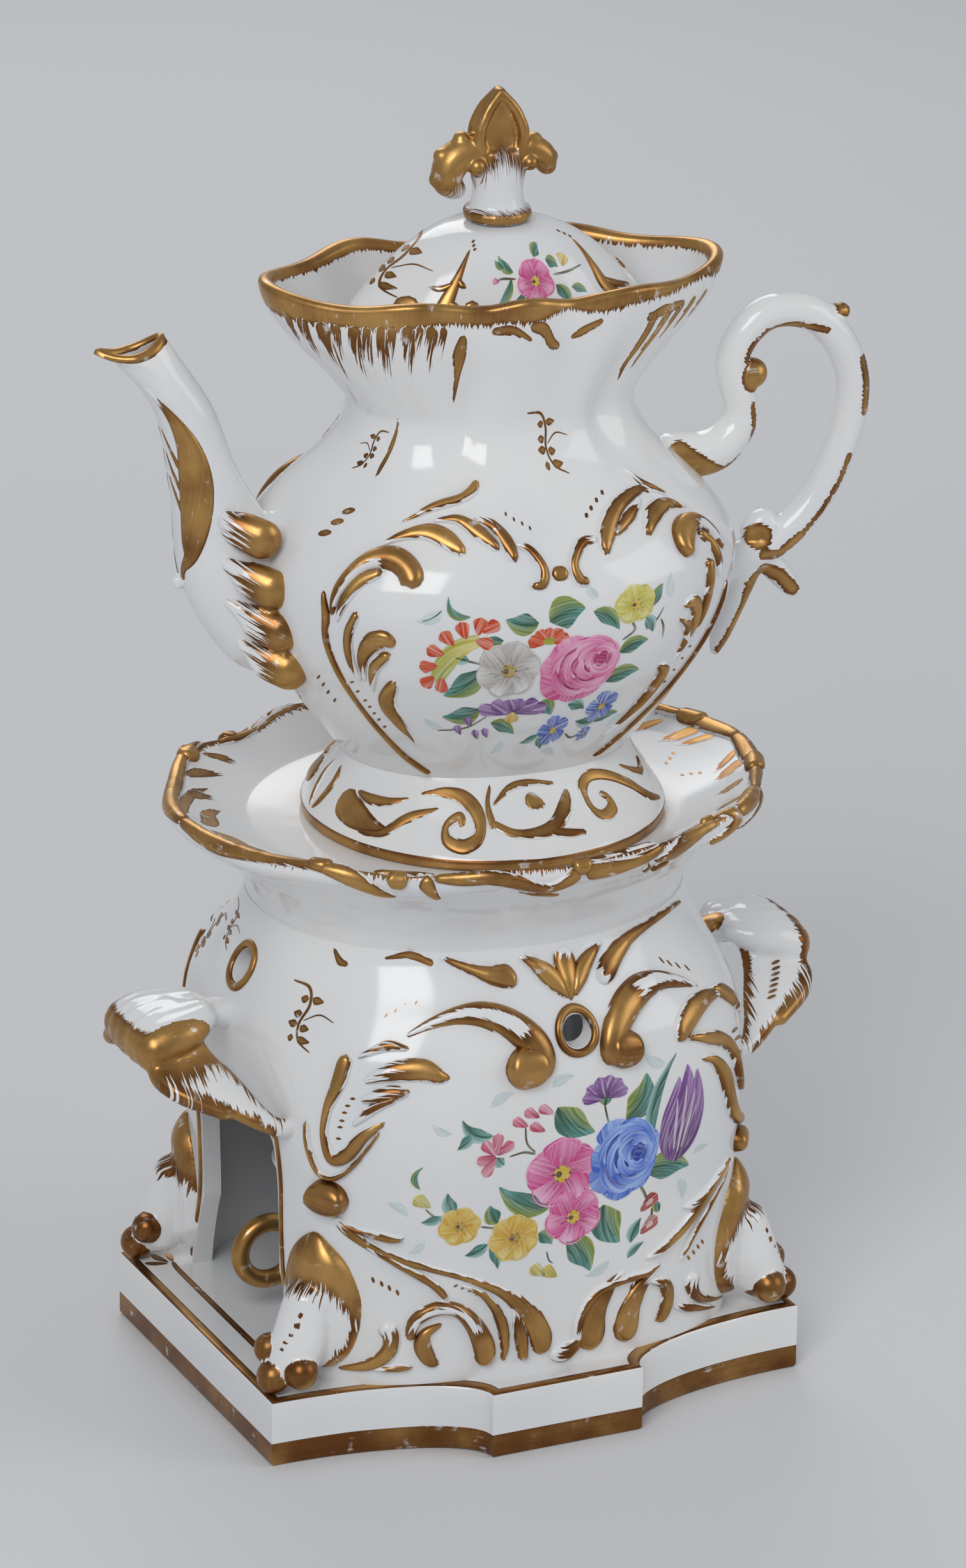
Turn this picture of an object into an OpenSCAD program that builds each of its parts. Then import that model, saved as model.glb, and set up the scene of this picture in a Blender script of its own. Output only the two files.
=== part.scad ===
/* [Plinth] */
// Length of the plinth between its corners
plinth_len = 144.6; // [140:0.2:170]
// Depth of the plinth between its corners
plinth_dep = 96.4; // [94:0.2:116]
// Width of the straight front of each bay
bay_w = 41; // [30:0.5:60]
// How far each bay stands out beyond the corners
bay_out = 17; // [15:0.5:24]
// Height of the plinth
plinth_h = 17.4; // [14:0.2:26]
// Wall and bottom of the hollow tray
tray_wall = 5; // [3.5:0.1:7]
// Thickness of the stove floor that closes the tray
floor_t = 4.6; // [3:0.1:7]
// Firing vent in the underside of the tray
firing_vent_d = 6; // [3:0.5:10]

/* [Warmer body] */
// Length of the warmer body at its widest
body_len = 130; // [124:0.5:134]
// Depth of the warmer body at its widest, front to back
body_dep = 122; // [118:0.5:128]
// Height of the warmer body above the stove floor
body_h = 109.6; // [104:0.2:116]
// Length of the oval neck under the dish
neck_len = 110; // [104:0.5:114]
// Depth of the oval neck under the dish
neck_dep = 94; // [90:0.5:100]
// Thickness of the warmer wall
warmer_wall = 4.6; // [3.5:0.1:6]
// Width of the door between its upright jambs
door_w = 47; // [42:0.5:52]
// Width of the door at the stove floor
door_foot_w = 68; // [60:0.5:72]
// Height at which the flared foot of the door meets the jambs
door_flare_h = 23.5; // [16:0.5:30]
// Height of the door at the jambs
door_h = 56; // [50:0.5:60]
// Rise of the door's arched head above the jambs
door_rise = 9; // [4:0.5:12]
// Diameter of the draught holes
draught_d = 7.6; // [5:0.1:9]
// Height of the front and back draught holes above the stove floor
draught_h = 90; // [84:0.5:92]
// Where the front and back draught holes stand, along the length
draught_x = 3.6; // [0:0.2:6]
// Height of the draught holes in the two ends above the stove floor
end_draught_h = 95.4; // [94:0.2:97]
// How far the moulded scrolls of the front and back stand out, as a share of their radius
relief_share = 0.7; // [0.4:0.05:0.8]

/* [Dish] */
// Length of the dish over its rim
dish_len = 152; // [146:0.5:170]
// Depth of the dish over its rim
dish_dep = 124; // [118:0.5:140]
// Height from the neck to the top of the rim
dish_h = 26.4; // [24:0.2:32]
// Height from the neck to the flat floor of the dish
dish_floor_h = 19.2; // [17:0.2:21]
// Thickness of the dish floor
dish_t = 4.6; // [3.5:0.1:6]
// Room on the flat floor beyond the teapot's foot, along the length
flat_room_x = 9; // [6:0.5:12]
// Room on the flat floor beyond the teapot's foot, across the depth
flat_room_y = 4; // [3:0.5:6]
// Hole in the dish floor that lets the heat up
heat_hole_d = 66; // [40:1:72]
// Number of waves round the rim
dish_waves = 10; // [6:1:14]
// Depth of those waves
dish_wave = 1.5; // [0:0.1:2.5]

/* [Hood handles] */
// Reach of the hood tip from the middle of the warmer
hood_reach = 95; // [88:0.5:102]
// Height of the hood tip above the stove floor
hood_h = 79.5; // [76:0.5:83]
// Width of the curled leaf at the tip
hood_leaf_w = 27; // [22:0.5:34]
// Thickness of the hood wings
hood_t = 4.4; // [3.6:0.1:6]
// Height of the wings where they leave the body
wing_h = 12; // [8:0.5:16]
// How far the wings stand outside the door jambs
wing_room = 7; // [4:0.5:9]
// Diameter of the middle rod
hood_rod_d = 8.6; // [6:0.1:10]

/* [Scroll feet] */
// How far a toe stands out from the corner of the body
toe_out = 10.2; // [8:0.2:12]
// Height of a scroll foot above the stove floor
foot_scroll_h = 43; // [34:0.5:50]
// Width of a scroll foot
foot_scroll_w = 20; // [14:0.5:22]
// Radius of the foot's rounded edges
foot_edge_r = 3.2; // [2.4:0.1:4]

/* [Teapot] */
// Where the teapot stands on the dish, along the length
pot_x = 3.9; // [-5:0.1:5]
// Where the teapot stands on the dish, across the depth
pot_y = -1.8; // [-3:0.1:3]
// Turn of the teapot on the dish
pot_turn = -7; // [-20:1:20]
// Diameter of the spreading foot
pot_foot_d = 90; // [84:0.5:94]
// Height of the spreading foot
pot_foot_h = 17.8; // [14:0.2:22]
// Width of the waist above the foot
pot_waist_w = 72; // [64:0.5:80]
// Depth of the waist above the foot
pot_waist_dep = 54; // [48:0.5:62]
// Width of the belly
pot_belly_w = 122.6; // [114:0.2:130]
// Depth of the belly
pot_belly_dep = 100; // [92:0.5:108]
// Width of the neck
pot_neck_w = 71; // [66:0.5:76]
// Depth of the neck
pot_neck_dep = 52; // [48:0.5:58]
// Width of the flared mouth
pot_mouth_w = 114; // [108:0.5:120]
// Depth of the flared mouth
pot_mouth_dep = 61; // [58:0.5:68]
// Height of the belly's widest line above the waist
belly_h = 50; // [46:0.5:54]
// Height of the neck's narrowest line above the waist
pot_neck_h = 90; // [86:0.5:94]
// Height of the mouth above the waist
pot_rim_h = 121.6; // [116:0.2:128]
// Thickness of the teapot wall
pot_wall = 3.6; // [3:0.1:5]
// Waves round the mouth
pot_waves = 8; // [4:1:12]
// Depth of those waves
pot_wave = 1.4; // [0:0.1:2]
// Hole in the teapot wall behind the spout
spout_hole_d = 12; // [8:0.5:16]
// Wall of the spout
spout_wall = 2.4; // [1.8:0.1:3]
// Diameter of the handle
handle_d = 8.8; // [7:0.1:11]

/* [Lid] */
// Depth of the lid seat below the top of the mouth
lid_seat_depth = 16.6; // [14:0.2:20]
// Height of the dome from its edge to the knob collar
lid_dome_h = 28; // [22:0.5:34]
// Thickness of the lid
lid_t = 3.2; // [2.4:0.1:5]
// Depth of the locating flange below the lid
lid_flange_h = 6; // [3:0.2:7]
// Gap between the lid's edge and the mouth round it
lid_gap = 2.2; // [1.2:0.1:2.6]
// Width of the gallery that carries the lid
gallery_w = 6; // [5:0.1:8]
// Depth of the gallery
gallery_h = 7; // [4:0.5:10]
// Diameter of the gilt collar under the knob
collar_d = 17; // [12:0.5:22]
// Height of the gilt collar
collar_h = 4; // [3:0.2:6]
// Height of the knob above the dome
finial_h = 33.4; // [26:0.2:40]
// Width of the knob across its curled leaves
finial_w = 33; // [28:0.5:40]
// Radius of the curled leaves
curl_r = 5; // [4:0.1:6]

/* [Oil cup and float] */
// Where the oil cup stands, along the length
cup_x = -33; // [-38:0.5:0]
// Diameter of the cup over its flared lip
cup_d = 34; // [30:0.5:38]
// Diameter of the cup below its lip
cup_throat_d = 28; // [26:0.5:30]
// Diameter of the cup at its foot
cup_foot_d = 22; // [18:0.5:25]
// Height of the cup
cup_h = 40; // [32:0.5:46]
// Height of the flared lip
cup_lip_h = 7; // [4:0.5:10]
// Wall of the cup
cup_wall = 2.4; // [1.6:0.1:3.4]
// Outer diameter of the ring handle
ring_d = 20; // [16:0.5:24]
// Thickness of the ring handle
ring_t = 4.6; // [3:0.1:6]
// Height of the ring's middle above the cup foot
ring_h = 16.8; // [14:0.2:20]
// Height of the resting float above the cup foot
float_h = 17; // [12:0.5:22]
// Thickness of the cork float
cork_t = 4; // [3:0.2:6]
// Thickness of the tin plate
plate_t = 0.6; // [0.4:0.1:1.2]
// Diameter of the wick tube
wick_tube_d = 3.2; // [2.6:0.1:4]
// How far the wick tube stands out of the cork
wick_tube_rise = 3; // [2:0.2:6]
// Diameter of the wick
wick_d = 1.8; // [1:0.1:2]
// How far the wick hangs below the cork
wick_tail = 5; // [3:0.5:8]
// How far the wick stands out of its tube
wick_tip = 3; // [1:0.5:5]

/* [Fits] */
// Gap under a piece that only stands on another
rest_gap = 0.2; // [0.1:0.05:0.4]
// Gap between the float and the tapered wall it rests on
float_gap = 0.3; // [0.2:0.05:0.6]
// How deep luted pieces bed into the wall that carries them
lute = 2; // [1:0.1:2.4]

/* [Hidden] */
porcelain = [0.96, 0.96, 0.94];
gilt = [0.68, 0.46, 0.20];
cork = [0.74, 0.56, 0.36];
tin = [0.75, 0.76, 0.78];
cotton = [0.93, 0.90, 0.82];
around = 56;
arc_steps = 8;
bead_sides = 12;
relief_sides = 6;
neck_z = plinth_h + body_h;
dish_floor_z = neck_z + dish_floor_h;
pot_z = dish_floor_z + rest_gap;
waist_z = pot_z + pot_foot_h;
rim_z = waist_z + pot_rim_h;
lid_seat_z = rim_z - lid_seat_depth;
lid_z = lid_seat_z + rest_gap;
finial_z = lid_z + lid_dome_h;
cup_z = plinth_h + rest_gap;
float_z = cup_z + float_h;
hood_z = plinth_h + hood_h;

function mix(a, b, t) = a + (b - a) * t;
function swell(t) = (1 - cos(180 * t)) / 2;
function reversed(list) = [for (i = [len(list) - 1 : -1 : 0]) list[i]];

// Smooth curve through a list of points, whatever their number of coordinates
function curve_point(p0, p1, p2, p3, t) =
    p1 + t / 2 * (p2 - p0 + t * (2 * p0 - 5 * p1 + 4 * p2 - p3 + t * (3 * (p1 - p2) + p3 - p0)));
function curve(p, steps) = let (last = len(p) - 1) [
    for (i = [0 : last - 1], s = [0 : steps - 1])
        curve_point(p[max(i - 1, 0)], p[i], p[i + 1], p[min(i + 2, last)], s / steps),
    p[last]
];

// Reach of a squared oval in direction t: p is 2 for an ellipse and more for a squarer plan
function oval_reach(a, b, p, t) =
    1 / pow(pow(abs(cos(t)) / a, p) + pow(abs(sin(t)) / b, p), 1 / p);

// Point of such an oval, bowed on its long sides and waved at its edge
function oval_point(a, b, z, p, bow, wave, waves, t) = let (
    ripple = wave * cos(waves * t),
    r = oval_reach(a, b, p, t) + ripple,
    x = r * cos(t)
) [x, r * sin(t) * (1 - bow * pow(x / a, 2)), z + 0.7 * ripple];

function oval_ring(a, b, z, p = 2, bow = 0, wave = 0, waves = 8) =
    [for (i = [0 : around - 1]) oval_point(a, b, z, p, bow, wave, waves, 360 * i / around)];

function side_faces(m, n, last) = [
    for (j = [0 : last], i = [0 : n - 1])
        let (a = j * n + i, b = j * n + (i + 1) % n, k = ((j + 1) % m) * n)
        each [[a, k + (i + 1) % n, b], [a, k + i, k + (i + 1) % n]]
];

// Skin through rings of equal length, where the last ring joins the first again
module ring_skin(rings) {
    n = len(rings[0]);
    m = len(rings);
    polyhedron([for (r = rings) each r], side_faces(m, n, m - 1));
}

function middle(r) = [for (k = [0 : 2]) [for (q = r) q[k]] * [for (q = r) 1] / len(r)];

// Skin through rings of equal length, closed by a fan at each end
module capped_skin(rings) {
    n = len(rings[0]);
    m = len(rings);
    points = concat([for (r = rings) each r], [middle(rings[0]), middle(rings[m - 1])]);
    low = [for (i = [0 : n - 1]) [i, (i + 1) % n, m * n]];
    high = [for (i = [0 : n - 1]) [(m - 1) * n + (i + 1) % n, (m - 1) * n + i, m * n + 1]];
    polyhedron(points, concat(side_faces(m, n, m - 2), low, high));
}

module bead(b) {
    translate([b[0], b[1], b[2]]) sphere(r = b[3], $fn = bead_sides);
}

// Round bar through beads [x, y, z, radius], hulled one after the other
module bead_chain(beads) {
    for (i = [1 : len(beads) - 1])
        hull() {
            bead(beads[i - 1]);
            bead(beads[i]);
        }
}

module turned(points) {
    rotate_extrude($fn = 96) polygon(points);
}

// Plinth outline: straight ends, and bays that swing out in quarter ellipses
function plinth_quarter(inset) = [
    for (i = [0 : arc_steps])
        let (t = 90 * i / arc_steps, hollow = plinth_len / 2 - bay_w / 2)
        [
            plinth_len / 2 - inset - hollow * sin(t),
            plinth_dep / 2 - inset + bay_out * (1 - cos(t))
        ]
];
function plinth_outline(inset) = let (q = plinth_quarter(inset)) concat(
    q,
    [for (p = reversed(q)) [-p[0], p[1]]],
    [for (p = q) [-p[0], -p[1]]],
    [for (p = reversed(q)) [p[0], -p[1]]]
);

module plinth_tray() color(porcelain) difference() {
    linear_extrude(plinth_h - floor_t) polygon(plinth_outline(0));
    translate([0, 0, tray_wall]) linear_extrude(plinth_h) polygon(plinth_outline(tray_wall));
    translate([plinth_len / 4, 0, -1]) cylinder(d = firing_vent_d, h = tray_wall + 2, $fn = 32);
}

module stove_floor() color(porcelain)
    translate([0, 0, plinth_h - floor_t]) linear_extrude(floor_t) polygon(plinth_outline(0));

// Levels of the warmer body: share of its height, shares of its swell along and across,
// squareness, and bow of the front and back
body_levels = [
    [0, 0.50, 0.70, 6.0, 0.20], [0.10, 0.48, 0.70, 6.0, 0.19], [0.25, 0.48, 0.78, 6.0, 0.17],
    [0.44, 0.55, 0.88, 5.6, 0.14], [0.60, 0.80, 0.98, 4.2, 0.12], [0.70, 0.98, 1.00, 3.2, 0.09],
    [0.76, 0.98, 0.96, 2.9, 0.07], [0.82, 0.80, 0.82, 2.6, 0.05], [0.88, 0.42, 0.54, 2.4, 0.03],
    [0.94, 0.12, 0.22, 2.2, 0.01], [1, 0, 0, 2.1, 0]
];
function body_half(level) = [
    mix(neck_len, body_len, level[1]) / 2,
    mix(neck_dep, body_dep, level[2]) / 2
];
function body_ring(level, inset) = let (half = body_half(level)) oval_ring(
    half[0] - inset, half[1] - inset, plinth_h + body_h * level[0], level[3], level[4]
);

// Level of the body at any height, where the end wall stands there, and its corner
function level_at(z) = let (share = (z - plinth_h) / body_h)
    [share, for (k = [1 : 4]) lookup(share, [for (v = body_levels) [v[0], v[k]]])];
function end_wall_x(y, z) = let (level = level_at(z), half = body_half(level), p = level[3])
    half[0] * pow(1 - pow(abs(y) / (1 - level[4]) / half[1], p), 1 / p);
corner_turn = 40;
function body_corner(z) = let (level = level_at(z), half = body_half(level))
    oval_point(half[0], half[1], z, level[3], level[4], 0, 1, corner_turn);

module door_cut() {
    foot = door_foot_w / 2;
    jamb = door_w / 2;
    head = [for (i = [0 : arc_steps]) let (t = 180 * i / arc_steps)
        [jamb * cos(t), door_h + door_rise * sin(t)]];
    outline = concat([[-foot, 0], [foot, 0], [jamb, door_flare_h]], head, [[-jamb, door_flare_h]]);
    translate([-body_len, 0, plinth_h]) rotate([90, 0, 90])
        linear_extrude(body_len - heat_hole_d / 2) polygon(outline);
}

module draught_holes() {
    for (turn = [0, 90, 180, 270]) let (in_end = turn % 180 == 0)
        translate([in_end ? 0 : draught_x, 0, plinth_h + (in_end ? end_draught_h : draught_h)])
            rotate(turn) translate([heat_hole_d / 2, 0, 0])
                rotate([0, 90, 0]) cylinder(d = draught_d, h = body_len, $fn = 32);
}

// Strands raised on the front: place along the length, height above the stove floor, radius
front_strands = [
    [[-38, 92, 1.2], [-26, 96.4, 2.2], [-16, 95, 2.9], [-8.6, 89.4, 3.7], [-7, 84.4, 3.5]],
    [[42, 91.6, 1.2], [30, 96, 2.2], [19, 94, 3.1], [13.6, 88.6, 3.5], [12.6, 84.4, 3.3]],
    [[-51, 87, 2.2], [-55.4, 74, 1.9], [-55.6, 62.4, 1.9], [-50, 68, 1.9], [-45, 72.2, 1.2]],
    [[-48.4, 82, 1.2], [-40, 84.8, 2.6], [-30.4, 82.8, 1]],
    [[51, 87, 1.4], [42.6, 88.6, 2.2], [34.6, 85.4, 2.9], [32, 82.4, 1.8]],
    [[55.8, 52.4, 1.6], [50.6, 60, 2.2], [47.6, 68.6, 2.3], [43.4, 74, 1.4]],
    [[-53.6, 45, 1.4], [-44, 36.6, 1.4], [-24, 28.2, 1.2], [-9, 17.6, 2.6], [-4, 6.4, 2.9]],
    [[29.6, 26.6, 1.3], [41, 35.6, 1.6], [50.6, 44.4, 1]],
    [[-38.2, 13, 1.5], [-32, 20.6, 1.9], [-24, 17.4, 2.2], [-19.4, 5.4, 2.9]],
    [[8.4, 15.4, 1.2], [12.4, 6, 3.2]],
    [[19.6, 14, 1.2], [23.4, 5.6, 3.2]],
    [[-30, 105.4, 1.2], [-13, 103.2, 2.6]],
    [[14.6, 100, 1.8], [22, 103.6, 2.4], [34, 105.6, 1.2]],
    [[-5.6, 104.6, 1.7], [4, 99.2, 1.8]],
    [[13.6, 104.6, 1.7], [5, 99.2, 1.6]],
    [[5, 105, 2.8], [4.6, 100.4, 2.4]]
];
// Round volutes and peas raised on the front, in the same way
front_peas = [[-10.4, 83.4, 5.6], [15.8, 83.8, 5], [-54.6, 50.2, 5.6], [55, 46.4, 4.2]];
function front_wall_y(x, z) = let (level = level_at(z), half = body_half(level), p = level[3])
    half[1] * pow(1 - pow(abs(x) / half[0], p), 1 / p) * (1 - level[4] * pow(x / half[0], 2));

module raised_bead(b) let (z = plinth_h + b[1])
    translate([b[0], -front_wall_y(b[0], z), z])
        scale([1, relief_share, 1]) sphere(r = b[2], $fn = relief_sides);

module front_relief() {
    for (strand = front_strands, i = [1 : len(strand) - 1])
        hull() {
            raised_bead(strand[i - 1]);
            raised_bead(strand[i]);
        }
    for (pea = front_peas)
        hull() raised_bead(pea);
}

module warmer_body() color(porcelain) difference() {
    union() {
        ring_skin(concat(
            [for (v = body_levels) body_ring(v, 0)],
            [for (v = reversed(body_levels)) body_ring(v, warmer_wall)]
        ));
        front_relief();
        mirror([0, 1, 0]) front_relief();
    }
    door_cut();
    draught_holes();
}

// Levels of the dish: share of its spread, share of its height, share of its wave
dish_outside = [
    [0, 0, 0], [0.09, 0.20, 0], [0.30, 0.44, 0.1], [0.62, 0.64, 0.4], [0.92, 0.80, 1], [1, 0.90, 1]
];
dish_inside = [[0.96, 1.00, 1], [0.84, 0.97, 0.8], [0.55, 0.86, 0.3]];
function dish_ring(v, inset) = oval_ring(
    mix(neck_len, dish_len, v[0]) / 2 - inset,
    mix(neck_dep, dish_dep, v[0]) / 2 - inset,
    neck_z + dish_h * v[1], mix(2.1, 2, v[1]), 0, dish_wave * v[2], dish_waves
);

module warmer_dish() color(porcelain) {
    hole = heat_hole_d / 2;
    under = warmer_wall + dish_t;
    ring_skin(concat(
        [for (v = dish_outside) dish_ring(v, 0)],
        [for (v = dish_inside) dish_ring(v, 0)],
        [oval_ring(pot_foot_d / 2 + flat_room_x, pot_foot_d / 2 + flat_room_y, dish_floor_z)],
        [oval_ring(hole, hole, dish_floor_z), oval_ring(hole, hole, dish_floor_z - dish_t)],
        [oval_ring(neck_len / 2 - under, neck_dep / 2 - under, dish_floor_z - 1.4 * dish_t, 2.1)],
        [dish_ring([0, 0, 0], warmer_wall)]
    ));
}

// Hood handle on the left: two wings from the jambs, a middle rod and a curled leaf where they meet
wing_drop = 6;
wing_tip_h = 9;
wing_arch = 3;
leaf_len = 17;
function bedded_x(y, z, r) = end_wall_x(y, z) - lute + r;

module hood_wing(side) {
    r = hood_t / 2;
    jamb_y = door_w / 2 + wing_room;
    low = hood_z - wing_drop;
    for (i = [1 : 4])
        hull() for (k = [i - 1, i], edge = [0, 1]) let (
            u = k / 4,
            y = mix(jamb_y, hood_leaf_w * 0.22, pow(u, 0.8)) * (1 - 0.14 * edge),
            root_z = low - wing_tip_h + wing_h * edge,
            x = mix(bedded_x(jamb_y, root_z, r), hood_reach - leaf_len + hood_t, u)
        )
            bead([-x, side * y, mix(root_z, low + wing_tip_h * edge, u) + wing_arch * sin(180 * u), r]);
}

module hood_handle() {
    leaf_r = hood_t * 0.8;
    rod_r = hood_rod_d / 2;
    rod_z = hood_z + 3;
    tip = leaf_r - hood_reach;
    bead_chain([
        [-bedded_x(0, rod_z, rod_r), 0, rod_z, rod_r],
        [-body_len / 2 - rod_r - 3, 0, rod_z + 1.4, rod_r * 0.9],
        [leaf_len - hood_reach, 0, rod_z + 0.4, rod_r]
    ]);
    hood_wing(1);
    hood_wing(-1);
    for (side = [-1, 1])
        hull() {
            bead([leaf_len - hood_reach, 0, rod_z + 1, leaf_r]);
            bead([tip + 6.5, side * hood_leaf_w * 0.30, rod_z, leaf_r]);
            bead([tip, side * (hood_leaf_w / 2 - leaf_r) * 0.7, hood_z, leaf_r]);
            bead([tip + 2, 0, hood_z - wing_drop + 1, leaf_r]);
            bead([tip + 6.5, side * (hood_leaf_w / 2 - leaf_r), hood_z - wing_drop, leaf_r]);
        }
}

module left_hood_handle() color(porcelain) hood_handle();

module right_hood_handle() color(porcelain) mirror([1, 0, 0]) hood_handle();

// Scroll foot at the right rear corner: a leaf that leaves the body wall and rolls into a toe.
// Its levels give the share of the toe's reach, the share of its height and the share of its width
foot_levels = [
    [-0.15, 1.00, 0.22], [-0.05, 0.86, 0.42], [0.02, 0.70, 0.62], [0.15, 0.54, 0.82], [0.37, 0.40, 0.96],
    [0.66, 0.28, 1.00], [0.90, 0.20, 0.90], [1.00, 0.12, 0.70], [0.83, 0.075, 0.55]
];

module scroll_foot() {
    half_w = 0.8 * (foot_scroll_w / 2 - foot_edge_r);
    difference() {
        for (i = [1 : len(foot_levels) - 1])
            hull() for (v = [foot_levels[i - 1], foot_levels[i]], side = [-1, 1])
                let (wall = body_corner(plinth_h + foot_scroll_h * v[1]))
                bead([wall[0] + toe_out * v[0] - 0.9 * side, wall[1] - 1 + side * half_w * v[2],
                    wall[2], foot_edge_r]);
        translate([0, 0, plinth_h - plinth_len]) cube(plinth_len);
    }
}

module rear_right_foot() color(porcelain) scroll_foot();

module rear_left_foot() color(porcelain) mirror([1, 0, 0]) scroll_foot();

module front_right_foot() color(porcelain) mirror([0, 1, 0]) scroll_foot();

module front_left_foot() color(porcelain) mirror([1, 0, 0]) mirror([0, 1, 0]) scroll_foot();

module on_dish() {
    translate([pot_x, pot_y, 0]) rotate(pot_turn) children();
}

pot_waist = [pot_waist_w, pot_waist_dep];
pot_belly = [pot_belly_w, pot_belly_dep];
pot_neck = [pot_neck_w, pot_neck_dep];
pot_mouth = [pot_mouth_w, pot_mouth_dep];
pot_square = 2.15;

// Spreading foot: hollow skirt that stands on the dish and carries the teapot's waist
skirt = [[0, 0], [0, 0.14], [0.22, 0.34], [0.50, 0.56], [0.80, 0.78], [1, 1]];
function skirt_ring(v, inset) = oval_ring(
    mix(pot_foot_d, pot_waist[0], v[0]) / 2 - inset,
    mix(pot_foot_d, pot_waist[1], v[0]) / 2 - inset,
    pot_z + pot_foot_h * v[1], mix(2, pot_square, v[0])
);

module teapot_foot() color(porcelain) on_dish()
    ring_skin(concat(
        [for (v = skirt) skirt_ring(v, 0)],
        [for (v = reversed(skirt)) skirt_ring(v, pot_wall + 1)]
    ));

// Teapot wall: swells from the waist to the belly, draws in to the neck and flares to the mouth
function flare(z) = (z - pot_neck_h) / (pot_rim_h - pot_neck_h);
function pot_half(k, z) =
    z <= belly_h ? mix(pot_waist[k], pot_belly[k], sin(90 * z / belly_h)) / 2 :
    z <= pot_neck_h ? mix(pot_belly[k], pot_neck[k], swell((z - belly_h) / (pot_neck_h - belly_h))) / 2 :
    mix(pot_neck[k], pot_mouth[k], (sin(90 * flare(z)) + swell(flare(z))) / 2) / 2;
function pot_ring(z, inset) = oval_ring(
    pot_half(0, z) - inset, pot_half(1, z) - inset, waist_z + z, pot_square, 0,
    pot_wave * max(0, flare(z)), pot_waves
);
function pot_reach(y, z) =
    pot_half(0, z) * pow(1 - pow(abs(y) / pot_half(1, z), pot_square), 1 / pot_square);
pot_outside = concat(
    [for (i = [0 : 6]) belly_h * i / 7],
    [for (i = [0 : 6]) mix(belly_h, pot_neck_h, i / 7)],
    [for (i = [0 : 6]) mix(pot_neck_h, pot_rim_h, i / 6)]
);
pot_floor_h = pot_wall + 1;
seat_h = lid_seat_z - waist_z;
function seat_half(k) = pot_half(k, seat_h) - pot_wall;

module spout_hole() {
    translate([-pot_belly_w / 2 - lute, 0, waist_z + belly_h - spout_hole_d * 2 / 3])
        rotate([0, 90, 0]) cylinder(d = spout_hole_d, h = pot_belly_w / 3, $fn = 32);
}

module teapot_body() color(porcelain) on_dish() difference() {
    inside_above = [for (i = [0 : 2]) mix(pot_rim_h, seat_h, i / 3)];
    inside_below = concat(
        [for (i = [0 : 3]) mix(pot_neck_h, belly_h, i / 4)],
        [for (i = [0 : 5]) mix(belly_h, pot_floor_h, i / 5)]
    );
    capped_skin(concat(
        [for (z = pot_outside) pot_ring(z, 0)],
        [for (z = inside_above) pot_ring(z, pot_wall)],
        [oval_ring(seat_half(0), seat_half(1), lid_seat_z, pot_square)],
        [for (z = [lid_seat_z, lid_seat_z - gallery_h])
            oval_ring(seat_half(0) - gallery_w, seat_half(1) - gallery_w, z)],
        [for (z = inside_below) pot_ring(z, pot_wall)]
    ));
    spout_hole();
}

// Spout from root to lip, measured from the belly's widest line: reach and height of its under
// edge, reach and height of its upper edge, and half its width
spout_edges = curve([
    [-11, -30.4, -5, 11, 13.5], [5.7, -21.3, -2.3, 17.2, 12.2], [16.3, -2.4, 0.3, 21.4, 9.9],
    [19.3, 22, 4.1, 29.6, 7.9], [23.1, 41.4, 8.9, 42.4, 6.8], [32.1, 54, 17.3, 55.6, 5.8],
    [38.3, 57.8, 20.7, 60.6, 5]
], 2);
spout_sides = 18;
function spout_ring(v, inset) = let (
    under = [v[0], v[1]],
    upper = [v[2], v[3]],
    mid = (under + upper) / 2,
    half = (under - upper) / 2,
    grip = 1 - inset / norm(half)
) [
    for (i = [0 : spout_sides - 1])
        let (t = 360 * i / spout_sides, edge = mid + half * grip * cos(t))
        [-pot_belly_w / 2 - edge[0], (v[4] - inset) * sin(t), waist_z + belly_h + edge[1]]
];

// The root of the spout follows the wall it is luted to
function spout_root(inset) = [
    for (q = spout_ring(spout_edges[0], inset)) [lute - pot_reach(q[1], q[2] - waist_z), q[1], q[2]]
];
function spout_rings(inset) = concat(
    [spout_root(inset)],
    [for (i = [1 : len(spout_edges) - 1]) spout_ring(spout_edges[i], inset)]
);

module teapot_spout() color(porcelain) on_dish()
    ring_skin(concat(spout_rings(0), reversed(spout_rings(spout_wall))));

// Handle, measured from the belly's widest line as reach and height
handle_r = handle_d / 2;
function handle_root(h) = [pot_reach(0, belly_h + h) - pot_belly_w / 2 - lute + handle_r, h];
handle_path = curve([
    handle_root(19), [-0.6, 21.2], [3.9, 28.6], [1.1, 43], [9.4, 53.6], [22.9, 51.8], [32.1, 38.4],
    [31.9, 23], [24.3, 5.2], [12.1, -6.4], handle_root(-13)
], 2);

module handle_run(path, r_start, r_end) {
    last = len(path) - 1;
    bead_chain([for (i = [0 : last])
        [pot_belly_w / 2 + path[i][0], 0, waist_z + belly_h + path[i][1], mix(r_start, r_end, i / last)]]);
}

module teapot_handle() color(porcelain) on_dish() {
    r = handle_r;
    handle_run(handle_path, r, r);
    handle_run([[4, 37.6], [6.8, 38.6]], r * 0.7, r * 0.8);
    handle_run([[12.7, -7], [10.7, -0.6], [7.3, -3.4]], r * 0.9, r * 0.6);
    handle_run([[11.7, -10.4], [16.1, -15.4], [18.7, -19.4]], r * 0.7, r * 0.4);
    handle_run([[5.7, -12], [2.1, -21], [-0.9, -31.4]], r * 0.8, r * 0.4);
}

// The lid lies pushed to the handle side of its seat
lid_shift = lid_gap * 0.45;
module on_pot() {
    on_dish() translate([lid_shift, 0, 0]) children();
}

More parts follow.
